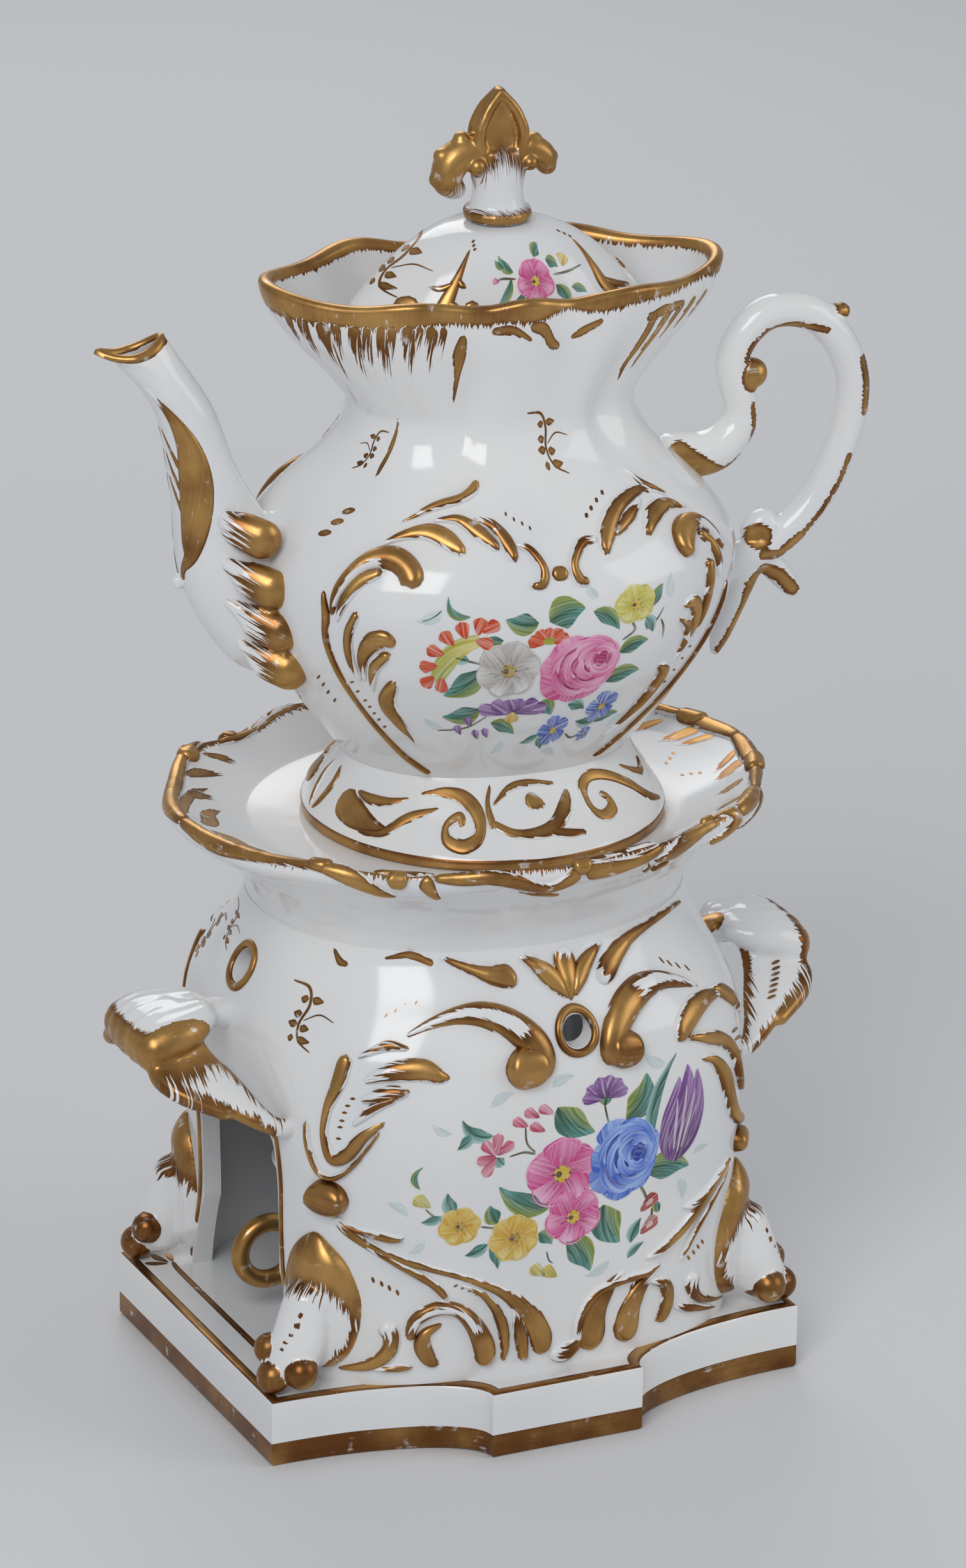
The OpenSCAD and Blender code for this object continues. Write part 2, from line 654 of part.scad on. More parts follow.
// Lid: oval dome that rests on the gallery, with a flange that keeps it in place
function dome_half(k, u) = mix(collar_d / 2, seat_half(k) - lid_gap, pow(u, 0.53));
function dome_ring(u, inset) = oval_ring(
    dome_half(0, u) - inset, dome_half(1, u) - inset, finial_z - lid_dome_h * u - inset
);
function flange_ring(inset, z) = let (room = gallery_w + lid_gap + inset)
    oval_ring(seat_half(0) - room, seat_half(1) - room, z);

module lid_dome() color(porcelain) on_pot() {
    shares = [1, 0.86, 0.70, 0.52, 0.36, 0.20, 0.08, 0];
    foot_z = lid_z - lid_flange_h;
    capped_skin(concat(
        [for (u = [0.03, 0.2, 0.45, 0.7]) dome_ring(u, lid_t)],
        [flange_ring(lid_t, lid_z), flange_ring(lid_t, foot_z), flange_ring(0, foot_z), flange_ring(0, lid_z)],
        [for (u = shares) dome_ring(u, 0)]
    ));
}

// Knob: gilt collar, fluted stem, a pointed middle leaf and a curled leaf on each side
module lid_finial() color(gilt) on_pot() translate([0, 0, finial_z]) {
    w = finial_w / 2;
    stem_r = collar_d * 0.4;
    leaf_z = finial_h * 0.45;
    cylinder(d1 = collar_d, d2 = collar_d * 0.94, h = collar_h, $fn = 48);
    hull() {
        translate([0, 0, collar_h - 0.5]) cylinder(r = stem_r, h = 1, $fn = 32);
        translate([0, 0, leaf_z - 1]) scale([1.1, 0.8, 1]) cylinder(r = stem_r, h = 1, $fn = 32);
    }
    for (i = [1 : 3])
        hull() for (k = [i - 1, i]) let (u = k / 3)
            translate([0, 0, mix(leaf_z, finial_h - curl_r * 0.44, u)])
                scale([mix(1.25, 0.42, u * u), mix(1, 0.42, u), 1]) sphere(r = curl_r, $fn = bead_sides);
    for (side = [-1, 1])
        bead_chain([
            [side * curl_r * 0.8, 0, leaf_z, curl_r],
            [side * (w - curl_r * 1.7), 0, finial_h * 0.60, curl_r],
            [side * (w - curl_r), 0, leaf_z, curl_r * 0.96],
            [side * (w - curl_r * 0.84), 0, finial_h * 0.32, curl_r * 0.8]
        ]);
}

module in_warmer() {
    translate([cup_x, 0, 0]) children();
}

// Radius of the cup's tapered wall at a height above its foot
cup_throat_h = cup_h - cup_lip_h;
function cup_r(h) = mix(cup_foot_d, cup_throat_d, (h - cup_wall) / (cup_throat_h - cup_wall)) / 2;

module oil_cup() color(porcelain) in_warmer() translate([0, 0, cup_z])
    turned([
        [0, cup_wall], [cup_foot_d / 2 - cup_wall, cup_wall], [cup_throat_d / 2 - cup_wall, cup_throat_h],
        [cup_d / 2 - cup_wall * 0.7, cup_h], [cup_d / 2, cup_h], [cup_d / 2, cup_h - cup_wall * 0.6],
        [cup_throat_d / 2, cup_throat_h], [cup_foot_d / 2, cup_wall], [cup_foot_d / 2, 0], [0, 0]
    ]);

module oil_cup_ring() color(gilt) in_warmer() translate([0, 0, cup_z]) {
    ring_x = -cup_r(ring_h) - ring_d / 2 + ring_t * 0.7;
    difference() {
        translate([ring_x, 0, ring_h]) rotate([90, 0, 0])
            rotate_extrude($fn = 64) translate([ring_d / 2 - ring_t / 2, 0]) circle(d = ring_t, $fn = 32);
        turned([[0, 0], [cup_foot_d / 2, 0], [cup_foot_d / 2, cup_wall], [cup_throat_d / 2, cup_throat_h],
            [0, cup_throat_h]]);
    }
}

// The float rests on the taper of the cup and rises with the oil
cork_edge = cork_t / 4;
cork_r = cup_r(float_h + cork_edge) - cup_wall - float_gap;

module in_cup() {
    in_warmer() translate([0, 0, float_z]) children();
}

module float_cork() color(cork) in_cup()
    turned([[wick_tube_d / 2, 0], [cork_r - cork_edge, 0], [cork_r, cork_edge], [cork_r, cork_t - cork_edge],
        [cork_r - cork_edge, cork_t], [wick_tube_d / 2, cork_t]]);

module float_plate() color(tin) in_cup() translate([0, 0, cork_t]) {
    plate_r = cork_r - 1.5 * cork_edge;
    turned([[wick_tube_d / 2, 0], [plate_r, 0], [plate_r, plate_t], [wick_tube_d / 2, plate_t]]);
}

tube_h = cork_t + wick_tube_rise;

module wick_tube() color(tin) in_cup()
    turned([[wick_d / 2, 0], [wick_tube_d / 2, 0], [wick_tube_d / 2, tube_h], [wick_d / 2, tube_h]]);

module wick() color(cotton) in_cup()
    translate([0, 0, -wick_tail]) cylinder(d = wick_d, h = wick_tail + tube_h + wick_tip, $fn = 24);

plinth_tray();
stove_floor();
warmer_body();
warmer_dish();
left_hood_handle();
right_hood_handle();
front_left_foot();
front_right_foot();
rear_left_foot();
rear_right_foot();
teapot_foot();
teapot_body();
teapot_spout();
teapot_handle();
lid_dome();
lid_finial();
oil_cup();
oil_cup_ring();
float_cork();
float_plate();
wick_tube();
wick();
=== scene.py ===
import bmesh
import bpy
import numpy as np
from mathutils import Matrix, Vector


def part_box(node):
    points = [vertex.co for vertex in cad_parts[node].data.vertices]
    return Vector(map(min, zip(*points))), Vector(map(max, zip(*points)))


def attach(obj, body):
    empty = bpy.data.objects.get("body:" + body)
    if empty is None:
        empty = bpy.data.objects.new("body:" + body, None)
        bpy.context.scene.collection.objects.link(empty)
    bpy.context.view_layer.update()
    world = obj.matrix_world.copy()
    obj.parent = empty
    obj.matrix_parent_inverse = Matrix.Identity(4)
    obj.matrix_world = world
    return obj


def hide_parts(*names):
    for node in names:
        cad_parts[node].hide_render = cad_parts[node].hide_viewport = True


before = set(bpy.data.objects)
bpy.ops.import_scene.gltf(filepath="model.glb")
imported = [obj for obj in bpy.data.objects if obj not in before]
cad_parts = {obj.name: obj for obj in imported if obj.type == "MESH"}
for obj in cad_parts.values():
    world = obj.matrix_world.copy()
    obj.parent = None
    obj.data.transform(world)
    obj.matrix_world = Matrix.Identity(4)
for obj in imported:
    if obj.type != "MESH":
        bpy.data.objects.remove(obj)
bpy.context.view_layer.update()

# Plinth: a hollow tray of cast porcelain with straight ends and a bay on each long side.
# It is glazed white, and its foot is banded in burnished gold that is worn along the corners.
MM = 0.001


def low(node):
    return np.array(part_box(node)[0]) / MM


def high(node):
    return np.array(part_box(node)[1]) / MM


class Wire:
    """One socket of a finish, on which sums are written as plain Python."""

    def __init__(self, tree, socket=None):
        self.tree = tree
        self.socket = socket

    def node(self, kind, inputs=None, output=0, **settings):
        made = self.tree.nodes.new("ShaderNode" + kind)
        for name, value in settings.items():
            setattr(made, name, value)
        for name, value in (inputs or {}).items():
            if isinstance(value, Wire):
                self.tree.links.new(value.socket, made.inputs[name])
            else:
                made.inputs[name].default_value = value
        return Wire(self.tree, made.outputs[output])

    def __add__(self, other):
        return self.node("Math", {0: self, 1: other}, operation="ADD")

    def __sub__(self, other):
        return self.node("Math", {0: self, 1: other}, operation="SUBTRACT")

    def __rsub__(self, other):
        return self.node("Math", {0: other, 1: self}, operation="SUBTRACT")

    def __mul__(self, other):
        return self.node("Math", {0: self, 1: other}, operation="MULTIPLY")

    __radd__ = __add__
    __rmul__ = __mul__

    def part(self, axis):
        return self.node("SeparateXYZ", {0: self}, output=axis)

    def ease(self, start, end):
        return self.node("MapRange", {0: self, 1: start, 2: end}, interpolation_type="SMOOTHSTEP")

    def between(self, first, second):
        return self.node("Mix", {0: self, 6: first, 7: second}, output=2, data_type="RGBA")

    def cloud(self, scale, detail=3.0):
        return self.node("TexNoise", {"Vector": self, "Scale": scale, "Detail": detail})

    def bump(self, strength, distance):
        return self.node("Bump", {"Strength": strength, "Distance": distance, "Height": self})


def new_finish(name):
    finish = bpy.data.materials.new(name)
    finish.use_nodes = True
    shader = finish.node_tree.nodes["Principled BSDF"]
    return finish, Wire(finish.node_tree), shader


def feed(shader, **sockets):
    """Links or sets the named sockets of a shader."""
    for name, value in sockets.items():
        socket = shader.inputs[name.replace("_", " ").title().replace("Ior", "IOR")]
        if isinstance(value, Wire):
            value.tree.links.new(value.socket, socket)
        else:
            socket.default_value = value


def brush_streaks(wire):
    """Fine streaks along each stroke of the brush, about one half on average."""
    brush = wire.node("Attribute", output="Vector", attribute_name="brush")
    along = brush.part(0) * 0.07
    across = brush.part(1) * 1.5
    place = wire.node("CombineXYZ", {0: along, 1: across})
    return place.cloud(1.0, 4.0), brush.part(2)


WHITE_COOL = (0.79, 0.805, 0.82, 1)
WHITE_WARM = (0.845, 0.845, 0.835, 1)
# Gold tones set far darker than clean gold, as a painted reflection of a dark room: the deep tone is painted
# shade and the bright tone a painted highlight.
GOLD_PAINTED_SHADE = (0.19, 0.073, 0.021, 1)
GOLD_PAINTED_HIGHLIGHT = (0.58, 0.335, 0.11, 1)


def ceramic_finish():
    finish, wire, shader = new_finish("glaze_and_gilding")
    place = wire.node("TexCoord", output="Object")
    gilt = wire.node("Attribute", output="Fac", attribute_name="gilt")
    streak, ragged = brush_streaks(wire)
    gold = (gilt + ragged * (streak - 0.5) * 2.4).ease(0.02, 0.16)
    patch = place.cloud(70.0)
    speck = place.cloud(900.0, 2.0)
    worn = (place.cloud(260.0, 5.0) + streak * 0.35).ease(0.80, 0.92)
    gold = gold * (1 - worn * 0.6)
    white = place.cloud(22.0, 2.0).ease(0.35, 0.65).between(WHITE_COOL, WHITE_WARM)
    # Gold mixed between its painted shade and painted highlight tones: at random by patches and streaks, and
    # lighter where more gold is laid.
    thick_and_painted_highlight = gilt.ease(0.0, 1.4)
    metal = (patch * 0.62 + streak * 0.12 + thick_and_painted_highlight * 0.2).ease(0.32, 0.72).between(GOLD_PAINTED_SHADE, GOLD_PAINTED_HIGHLIGHT)
    feed(
        shader,
        base_color=gold.between(white, metal),
        metallic=gold * 0.9,
        roughness=gold * (0.13 + patch * 0.16) + 0.10 + speck * 0.03,
        normal=(place.cloud(45.0, 2.0) + gold * speck * 0.12).bump(0.25, 0.0004),
    )
    return finish


CERAMIC = ceramic_finish()
MARK_KINDS = {"gilt": "FLOAT", "brush": "FLOAT_VECTOR", "tint": "FLOAT_COLOR"}
MARK_FIELDS = {"gilt": "value", "brush": "vector", "tint": "color"}


def outward_mesh(name, points, faces):
    """A mesh from points in millimetres, with its faces turned outwards."""
    mesh = bpy.data.meshes.new(name)
    mesh.from_pydata((np.asarray(points) * MM).tolist(), [], faces)
    whole = bmesh.new()
    whole.from_mesh(mesh)
    bmesh.ops.recalc_face_normals(whole, faces=whole.faces)
    whole.to_mesh(mesh)
    whole.free()
    return mesh


def placed(name, data):
    """A mesh, lamp or camera set in the scene."""
    thing = bpy.data.objects.new(name, data)
    bpy.context.scene.collection.objects.link(thing)
    return thing


def shape(name, points, faces, body, stands_for, finish=CERAMIC, slot="porcelain", sharp=40, **marks):
    """A piece with its mesh in millimetres and its painted marks, which rides on a body."""
    mesh = outward_mesh(name, points, faces)
    mesh.shade_smooth()
    mesh.set_sharp_from_angle(angle=np.radians(sharp))
    for mark, values in marks.items():
        layer = mesh.attributes.new(mark, MARK_KINDS[mark], "POINT")
        layer.data.foreach_set(MARK_FIELDS[mark], np.ravel(values).astype(np.float32))
    mesh.materials.append(finish)
    piece = placed(name, mesh)
    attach(piece, body)
    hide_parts(stands_for)


def loft_faces(rings, sides, closed=False):
    """Faces of a skin through rings, joined end to end or capped."""
    runs = rings if closed else rings - 1
    faces = [
        (j * sides + i, j * sides + (i + 1) % sides, k * sides + (i + 1) % sides, k * sides + i)
        for j in range(runs)
        for k in [(j + 1) % rings]
        for i in range(sides)
    ]
    if not closed:
        faces.append(tuple(range(sides)))
        faces.append(tuple((rings - 1) * sides + i for i in range(sides)))
    return faces


def loft(rings, closed=False):
    """Points and faces of a skin through rings of points."""
    return rings.reshape(-1, 3), loft_faces(*rings.shape[:2], closed)


def stacked(x, y, z):
    """Three values at each point, as one array."""
    return np.stack(np.broadcast_arrays(x, y, z), axis=-1)


plinth_half = high("plinth_tray")[:2]
slab_z = low("stove_floor")[2]
bay_half, bay_out, tray_wall = 20.5, 17.0, 5.0
corner_half = np.array([plinth_half[0], plinth_half[1] - bay_out])
bay_turn = np.radians(np.linspace(0, 90, 26))


def plinth_outline(inset):
    """Outline of the plinth, of which one quarter runs from an end to the middle of a bay."""
    x = corner_half[0] - inset - (corner_half[0] - bay_half) * np.sin(bay_turn)
    y = corner_half[1] - inset + bay_out * (1 - np.cos(bay_turn))
    quarter = np.stack([x, y], axis=1)
    half = np.vstack([quarter, quarter[::-1] * [-1, 1]])
    return np.vstack([half, -half])


def plinth_rings(levels):
    """Rings of the plinth's outline from pairs of inset and height."""
    return np.array([stacked(*plinth_outline(inset).T, z) for inset, z in levels])


band_h, band_fade = 6.3, 0.5
outline_step = 1.4
tray_levels = [
    (1.0, 0), (0.4, 0.15), (0, 0.8), (0, band_h - band_fade), (0, band_h), (0, slab_z),
    (tray_wall, slab_z), (tray_wall, tray_wall), (tray_wall + 1, tray_wall),
]
rings = plinth_rings(tray_levels)
sides = rings.shape[1]
around = np.arange(sides) * outline_step
# The band's gold is kept thin so that it stays near the painted shade tone of the gold.
tray_gilt = [min(band_h - z, band_fade) if inset < tray_wall else -1 for inset, z in tray_levels]
shape(
    "plinth_tray", *loft(rings), "warmer", "plinth_tray",
    gilt=np.repeat(tray_gilt, sides), brush=stacked(around, rings[:, :, 2], 0.25),
)

# Stove floor: the flat slab that closes the plinth and carries the stove and the oil cup.
# It is luted to the tray so that no seam shows, and a gold line is drawn round its upper edge.
plinth_top = high("stove_floor")[2]
edge_line, edge_line_in, edge_line_down = 1.2, 1.4, 1.2
slab_levels = [
    (6, slab_z), (0, slab_z), (0, plinth_top - 1.1), (0.15, plinth_top - 0.5), (0.5, plinth_top - 0.14),
    (1.0, plinth_top), (1.9, plinth_top), (2.8, plinth_top), (6, plinth_top),
]
rings = plinth_rings(slab_levels)
slab_inset, slab_level_z = np.array(slab_levels).T
slab_gilt = 1.5 * (edge_line - np.abs(slab_inset - edge_line_in))
slab_gilt = np.where(slab_level_z < plinth_top - edge_line_down, -1, slab_gilt)
shape(
    "stove_floor", *loft(rings), "warmer", "stove_floor",
    gilt=np.repeat(slab_gilt, sides), brush=stacked(around, slab_inset[:, None], 0.3),
)

# Stove wall: one hollow casting that swells up from the floor and draws in to an oval neck.
# A door for the oil cup is cut through its left end, and round draught holes through every side.
body_len, body_dep, neck_len, neck_dep = 130.0, 122.0, 110.0, 94.0
wall_t, wall_sides, wall_rows = 4.6, 240, 64
neck_z = high("warmer_body")[2]
body_h = neck_z - plinth_top
# Share of the height, shares of the swell in length and in depth, squareness, and bow of the long sides
body_levels = np.array([
    [0, 0.50, 0.70, 6.0, 0.20], [0.10, 0.48, 0.70, 6.0, 0.19], [0.25, 0.48, 0.78, 6.0, 0.17],
    [0.44, 0.55, 0.88, 5.6, 0.14], [0.60, 0.80, 0.98, 4.2, 0.12], [0.70, 0.98, 1.00, 3.2, 0.09],
    [0.76, 0.98, 0.96, 2.9, 0.07], [0.82, 0.80, 0.82, 2.6, 0.05], [0.88, 0.42, 0.54, 2.4, 0.03],
    [0.94, 0.12, 0.22, 2.2, 0.01], [1, 0, 0, 2.1, 0],
])


def mix(first, second, share):
    return first + (second - first) * share


def oval(half_len, half_dep, angle, square=2.0, bow=0.0):
    """Point of a squared oval whose long sides are bowed in towards its ends."""
    reach = (np.abs(np.cos(angle)) / half_len) ** square + (np.abs(np.sin(angle)) / half_dep) ** square
    reach = reach ** (-1 / square)
    x = reach * np.cos(angle)
    return x, reach * np.sin(angle) * (1 - bow * (x / half_len) ** 2)


def eased(z, heights, values, room=4.0):
    """Value at a height from a list of levels, with the corners of the list eased over some millimetres."""
    return np.mean([np.interp(z + d, heights, values) for d in np.linspace(-room, room, 9)], axis=0)


level_z = plinth_top + body_h * body_levels[:, 0]


def stove_section(z, inset=0.0):
    """Half length, half depth, squareness and bow of the wall at a height."""
    along, across, square, bow = (eased(z, level_z, body_levels[:, k]) for k in range(1, 5))
    half_len = mix(neck_len, body_len, along) / 2 - inset
    half_dep = mix(neck_dep, body_dep, across) / 2 - inset
    return half_len, half_dep, square, bow


def stove_wall(angle, z, inset=0.0):
    half_len, half_dep, square, bow = stove_section(z, inset)
    return stacked(*oval(half_len, half_dep, angle, square, bow), z)


def full_turn(sides):
    return np.radians(np.linspace(0, 360, sides, endpoint=False))


def plain(points, faces):
    """A blank to be worked on, which is not a piece yet."""
    return placed("blank", outward_mesh("blank", points, faces))


def cut(points, faces, cutters):
    """Points and faces of a solid after the given solids are taken out of it."""
    blank = plain(points, faces)
    tools = [plain(*cutter) for cutter in cutters]
    for tool in tools:
        step = blank.modifiers.new("cut", "BOOLEAN")
        step.operation = "DIFFERENCE"
        step.solver = "EXACT"
        step.object = tool
    return finished(blank, tools)


def finished(blank, tools=()):
    """Points and faces of a blank once its modifiers have run. The blank and its tools are cleared away."""
    bpy.context.view_layer.update()
    done = blank.evaluated_get(bpy.context.evaluated_depsgraph_get()).to_mesh()
    points = np.array([v.co for v in done.vertices]) / MM
    faces = [tuple(f.vertices) for f in done.polygons]
    for thing in (blank, *tools):
        bpy.data.objects.remove(thing)
    return points, faces


def prism(outline, start, end, axes):
    """Straight solid with an outline in two axes, between two places on the third."""
    rows = np.zeros((2, len(outline), 3))
    rows[:, :, axes[:2]] = np.asarray(outline)
    rows[0, :, axes[2]] = start
    rows[1, :, axes[2]] = end
    return rows.reshape(-1, 3), loft_faces(2, len(outline))


door_half, door_foot_half = 23.5, 34.0
door_flare_h, door_h, door_rise = 23.5, 56.0, 9.0
head = np.radians(np.linspace(0, 180, 17))
door_outline = np.vstack([
    [[-door_foot_half, plinth_top - 1], [door_foot_half, plinth_top - 1],
     [door_half, plinth_top + door_flare_h]],
    np.column_stack([door_half * np.cos(head), plinth_top + door_h + door_rise * np.sin(head)]),
    [[-door_half, plinth_top + door_flare_h]],
])
vent_r, vent_x, vent_h, end_vent_h = 3.8, 3.6, 90.0, 95.4
vent_turn = full_turn(32)
vent_outline = vent_r * np.column_stack([np.cos(vent_turn), np.sin(vent_turn)])
front_vent = vent_outline + [vent_x, plinth_top + vent_h]
end_vent = vent_outline + [0, plinth_top + end_vent_h]
room_half = 30
angles, heights = np.meshgrid(full_turn(wall_sides), np.linspace(plinth_top, neck_z, wall_rows))
rings = np.concatenate([stove_wall(angles, heights), stove_wall(angles, heights, wall_t)[::-1]])
points, faces = cut(*loft(rings, closed=True), [
    prism(door_outline, -body_len, -room_half, [1, 2, 0]),
    prism(front_vent, -body_dep, -room_half, [0, 2, 1]),
    prism(front_vent, room_half, body_dep, [0, 2, 1]),
    prism(end_vent, -body_len, -room_half, [1, 2, 0]),
    prism(end_vent, room_half, body_len, [1, 2, 0]),
])
shape("warmer_body", points, faces, "warmer", "warmer_body", sharp=35)

# Painting and moulding of the stove wall: scrolls and leaves raised in the mould and gilded, a spray of
# flowers in enamels on each long side, and small gilt sprigs on the shoulders.


def enamel_finish():
    finish, wire, shader = new_finish("painted_enamel")
    tint = wire.node("Attribute", output="Color", attribute_name="tint")
    streak, ragged = brush_streaks(wire)
    pale = streak.ease(0.40, 0.75)
    colour = (pale * ragged).between(tint, (0.82, 0.83, 0.84, 1))
    twice = {0: 1.0, 6: colour, 7: colour}
    deep = wire.node("Mix", twice, output=2, data_type="RGBA", blend_type="MULTIPLY")
    feed(shader, base_color=(streak.ease(0.62, 0.30) * 0.45).between(colour, deep), roughness=0.16)
    return finish


ENAMEL = enamel_finish()
SINK = 0.35
EDGE_GOLD, GOLD_GAIN, GOLD_MOST = 0.28, 1.2, 1.6
DRY_EDGE, DRY_GAIN, WHITE_ENDS = -0.5, 1.3, 0.35
LEAST_HALF, LEAST_END, BROAD_HALF = 0.05, 0.3, 2.5
ACROSS_FINE, ACROSS_BROAD = 5, 11
BRISTLE_SLANT, STREAK_S, STREAK_H = 0.18, 13.7, 7.3


def smooth_path(rows, step, space):
    """Even points on the smooth curve through given rows, and the distance run at each."""
    rows = np.asarray(rows, float)
    ends = np.vstack([2 * rows[0] - rows[1], rows, 2 * rows[-1] - rows[-2]])
    t = np.linspace(0, 1, 16, endpoint=False)[:, None]
    fine = []
    for p0, p1, p2, p3 in zip(ends, ends[1:], ends[2:], ends[3:]):
        bend = 2 * p0 - 5 * p1 + 4 * p2 - p3 + t * (3 * (p1 - p2) + p3 - p0)
        fine.append(p1 + t / 2 * (p2 - p0 + t * bend))
    fine = np.vstack(fine + [rows[-1:]])
    legs = np.linalg.norm(np.diff(fine[:, :space], axis=0), axis=1)
    run = np.concatenate([[0], np.cumsum(legs)])
    marks = np.linspace(0, run[-1], max(5, int(run[-1] / step) + 2))
    return np.column_stack([np.interp(marks, run, column) for column in fine.T]), marks


def on_surface(surface, s, h, lift):
    """Points a little above a surface, off which they stand square."""
    d = 0.05
    along = surface(s + d, h) - surface(s - d, h)
    rise = surface(s, h + d) - surface(s, h - d)
    out = np.cross(along, rise)
    out = out / np.linalg.norm(out, axis=-1, keepdims=True)
    return surface(s, h) + out * np.asarray(lift)[..., None]


def stroke(
    surface, rows, lift=0.08, relief=0.0, ragged=0.45, dry=(0, 0), white=None, colours=None, step=0.7,
    feather=(0, 0),
):
    """A stroke of the brush, or a moulded strand where it has relief, along rows of place and half width.

    White is the stripe left white: from and to across the strand, then from and to along it.
    Colours are those at the start, at the end and along the left edge. Dry is how far the gold is thin at
    the start and at the end. Feather thins its right and left edge."""
    path, run = smooth_path(rows, step, 2)
    half = np.maximum(path[:, 2], LEAST_HALF)
    for away, end in ((run, half[0]), (run[-1] - run, half[-1])):
        half = half * np.sqrt(np.clip(1 - (1 - np.clip(away / max(end, LEAST_END), 0, 1)) ** 2, 0.02, 1))
    way = np.gradient(path[:, :2], axis=0)
    way = way / np.maximum(np.linalg.norm(way, axis=1, keepdims=True), 1e-9)
    across = np.linspace(-1, 1, ACROSS_BROAD if relief or half.max() > BROAD_HALF else ACROSS_FINE)
    e = np.broadcast_to(across, (len(path), len(across)))
    s = path[:, :1] - way[:, 1:] * half[:, None] * e
    h = path[:, 1:2] + way[:, :1] * half[:, None] * e
    full = np.clip(half / (0.7 * half.max()), 0, 1)[:, None]
    top = on_surface(surface, s, h, lift + relief * full * np.sqrt(np.clip(1 - e * e, 0, 1)))
    foot = on_surface(surface, s[:, [-1, 0]], h[:, [-1, 0]], np.full((len(path), 2), -SINK))
    far = np.broadcast_to(run[:, None], e.shape)
    share = far / run[-1]
    gilt = np.minimum(EDGE_GOLD + (1 - np.abs(e)) * half[:, None] * GOLD_GAIN, GOLD_MOST)
    gilt = gilt - feather[0] * np.clip(-e, 0, 1) - feather[1] * np.clip(e, 0, 1)
    if white:
        bare = np.maximum(white[0] - e, e - white[1]) * half[:, None]
        bare = np.maximum(bare, np.maximum(white[2] - share, share - white[3]) * run[-1] * WHITE_ENDS)
        gilt = np.minimum(gilt, bare)
    for length, away in ((dry[0], far), (dry[1], run[-1] - far)):
        if length:
            gilt = np.minimum(gilt, DRY_EDGE + DRY_GAIN * away / length)
    if colours is None:
        tint = np.zeros(e.shape + (4,))
    else:
        first, last, side = (np.array(colour + (1,)) for colour in colours)
        tint = mix(first, last, share[..., None])
        tint = mix(tint, side, np.clip(e, 0, 1)[..., None] ** 0.8)
    start = STREAK_S * path[0, 0] + STREAK_H * path[0, 1]
    brush = stacked(far + start, e * half[:, None] + BRISTLE_SLANT * far + start, ragged)
    points = np.concatenate([top, foot], axis=1)
    return {
        "points": points.reshape(-1, 3), "faces": loft_faces(len(path), points.shape[1]),
        "gilt": np.concatenate([gilt, gilt[:, [-1, 0]]], axis=1).ravel(),
        "brush": np.concatenate([brush, brush[:, [-1, 0]]], axis=1).reshape(-1, 3),
        "tint": np.concatenate([tint, tint[:, [-1, 0]]], axis=1).reshape(-1, 4),
    }


def knob_on(surface, s, h, wide, tall, relief):
    """A round pea of paste on a surface."""
    rows = [(s - wide, h, tall * 0.9), (s, h, tall), (s + wide, h, tall * 0.9)]
    return stroke(surface, rows, 0.0, relief, 0.2)


def strands(surface, lists, **options):
    return [stroke(surface, rows, **options) for rows in lists]


def dashes(surface, places, way, length, half, **options):
    """A row of short touches of the brush, all laid the same way."""
    a, b = np.array(way) / np.hypot(*way) * length / 2
    lists = [[(s - a, h - b, half * 0.5), (s, h, half), (s + a, h + b, half * 0.4)] for s, h in places]
    return strands(surface, lists, step=0.4, **options)


def dash_rows(surface, *rows):
    """Rows of touches, each from its places, way, length and half width."""
    return [one for row in rows for one in dashes(surface, *row)]


def ring_rows(s, h, radius, half):
    """Rows of a stroke that runs round and a little past its own start."""
    turns = np.radians(np.linspace(0, 390, 27))
    return [(s + radius * np.cos(a), h + radius * np.sin(a), half) for a in turns]


def joined(forms):
    """Points and faces of many forms as one."""
    faces, count = [], 0
    for form_points, form_faces in forms:
        faces += [tuple(count + i for i in face) for face in form_faces]
        count += len(form_points)
    return np.vstack([form_points for form_points, form_faces in forms]), faces


FRONT, BACK = (1, 1, 1), (1, -1, 1)


def paint(name, strokes, body, node, finish=CERAMIC, place=None, flip=FRONT):
    """One piece from many strokes. Gold strokes carry their gilding, and enamels carry their tints."""
    points, faces = joined([(one["points"], one["faces"]) for one in strokes])
    points = points * flip
    kinds = ("tint", "brush") if finish is ENAMEL else ("gilt", "brush")
    marks = {kind: np.concatenate([one[kind] for one in strokes]) for kind in kinds}
    shape(name, place(points) if place else points, faces, body, node, finish, sharp=60, **marks)


def paint_both(name, strokes, body, node, place=None):
    """The same gilding on the front and, mirrored, on the back."""
    for side, flip in (("front", FRONT), ("back", BACK)):
        paint(f"{name}_{side}", strokes, body, node, CERAMIC, place, flip)


def run_round(ring):
    """Angle for a distance run round a ring, from the middle of the front towards the closed end."""
    angle = np.linspace(-np.pi / 2, 1.5 * np.pi, 1441)
    legs = np.linalg.norm(np.diff(ring(angle), axis=0), axis=1)
    run = np.concatenate([[0], np.cumsum(legs)])
    return lambda s: np.interp(np.mod(s, run[-1]), run, angle), run[-1]


stove_line_z = 83.0
stove_angle, stove_run = run_round(lambda angle: stove_wall(angle, np.full(angle.shape, stove_line_z)))


def stove_at(s, h):
    return stove_wall(stove_angle(s), h)


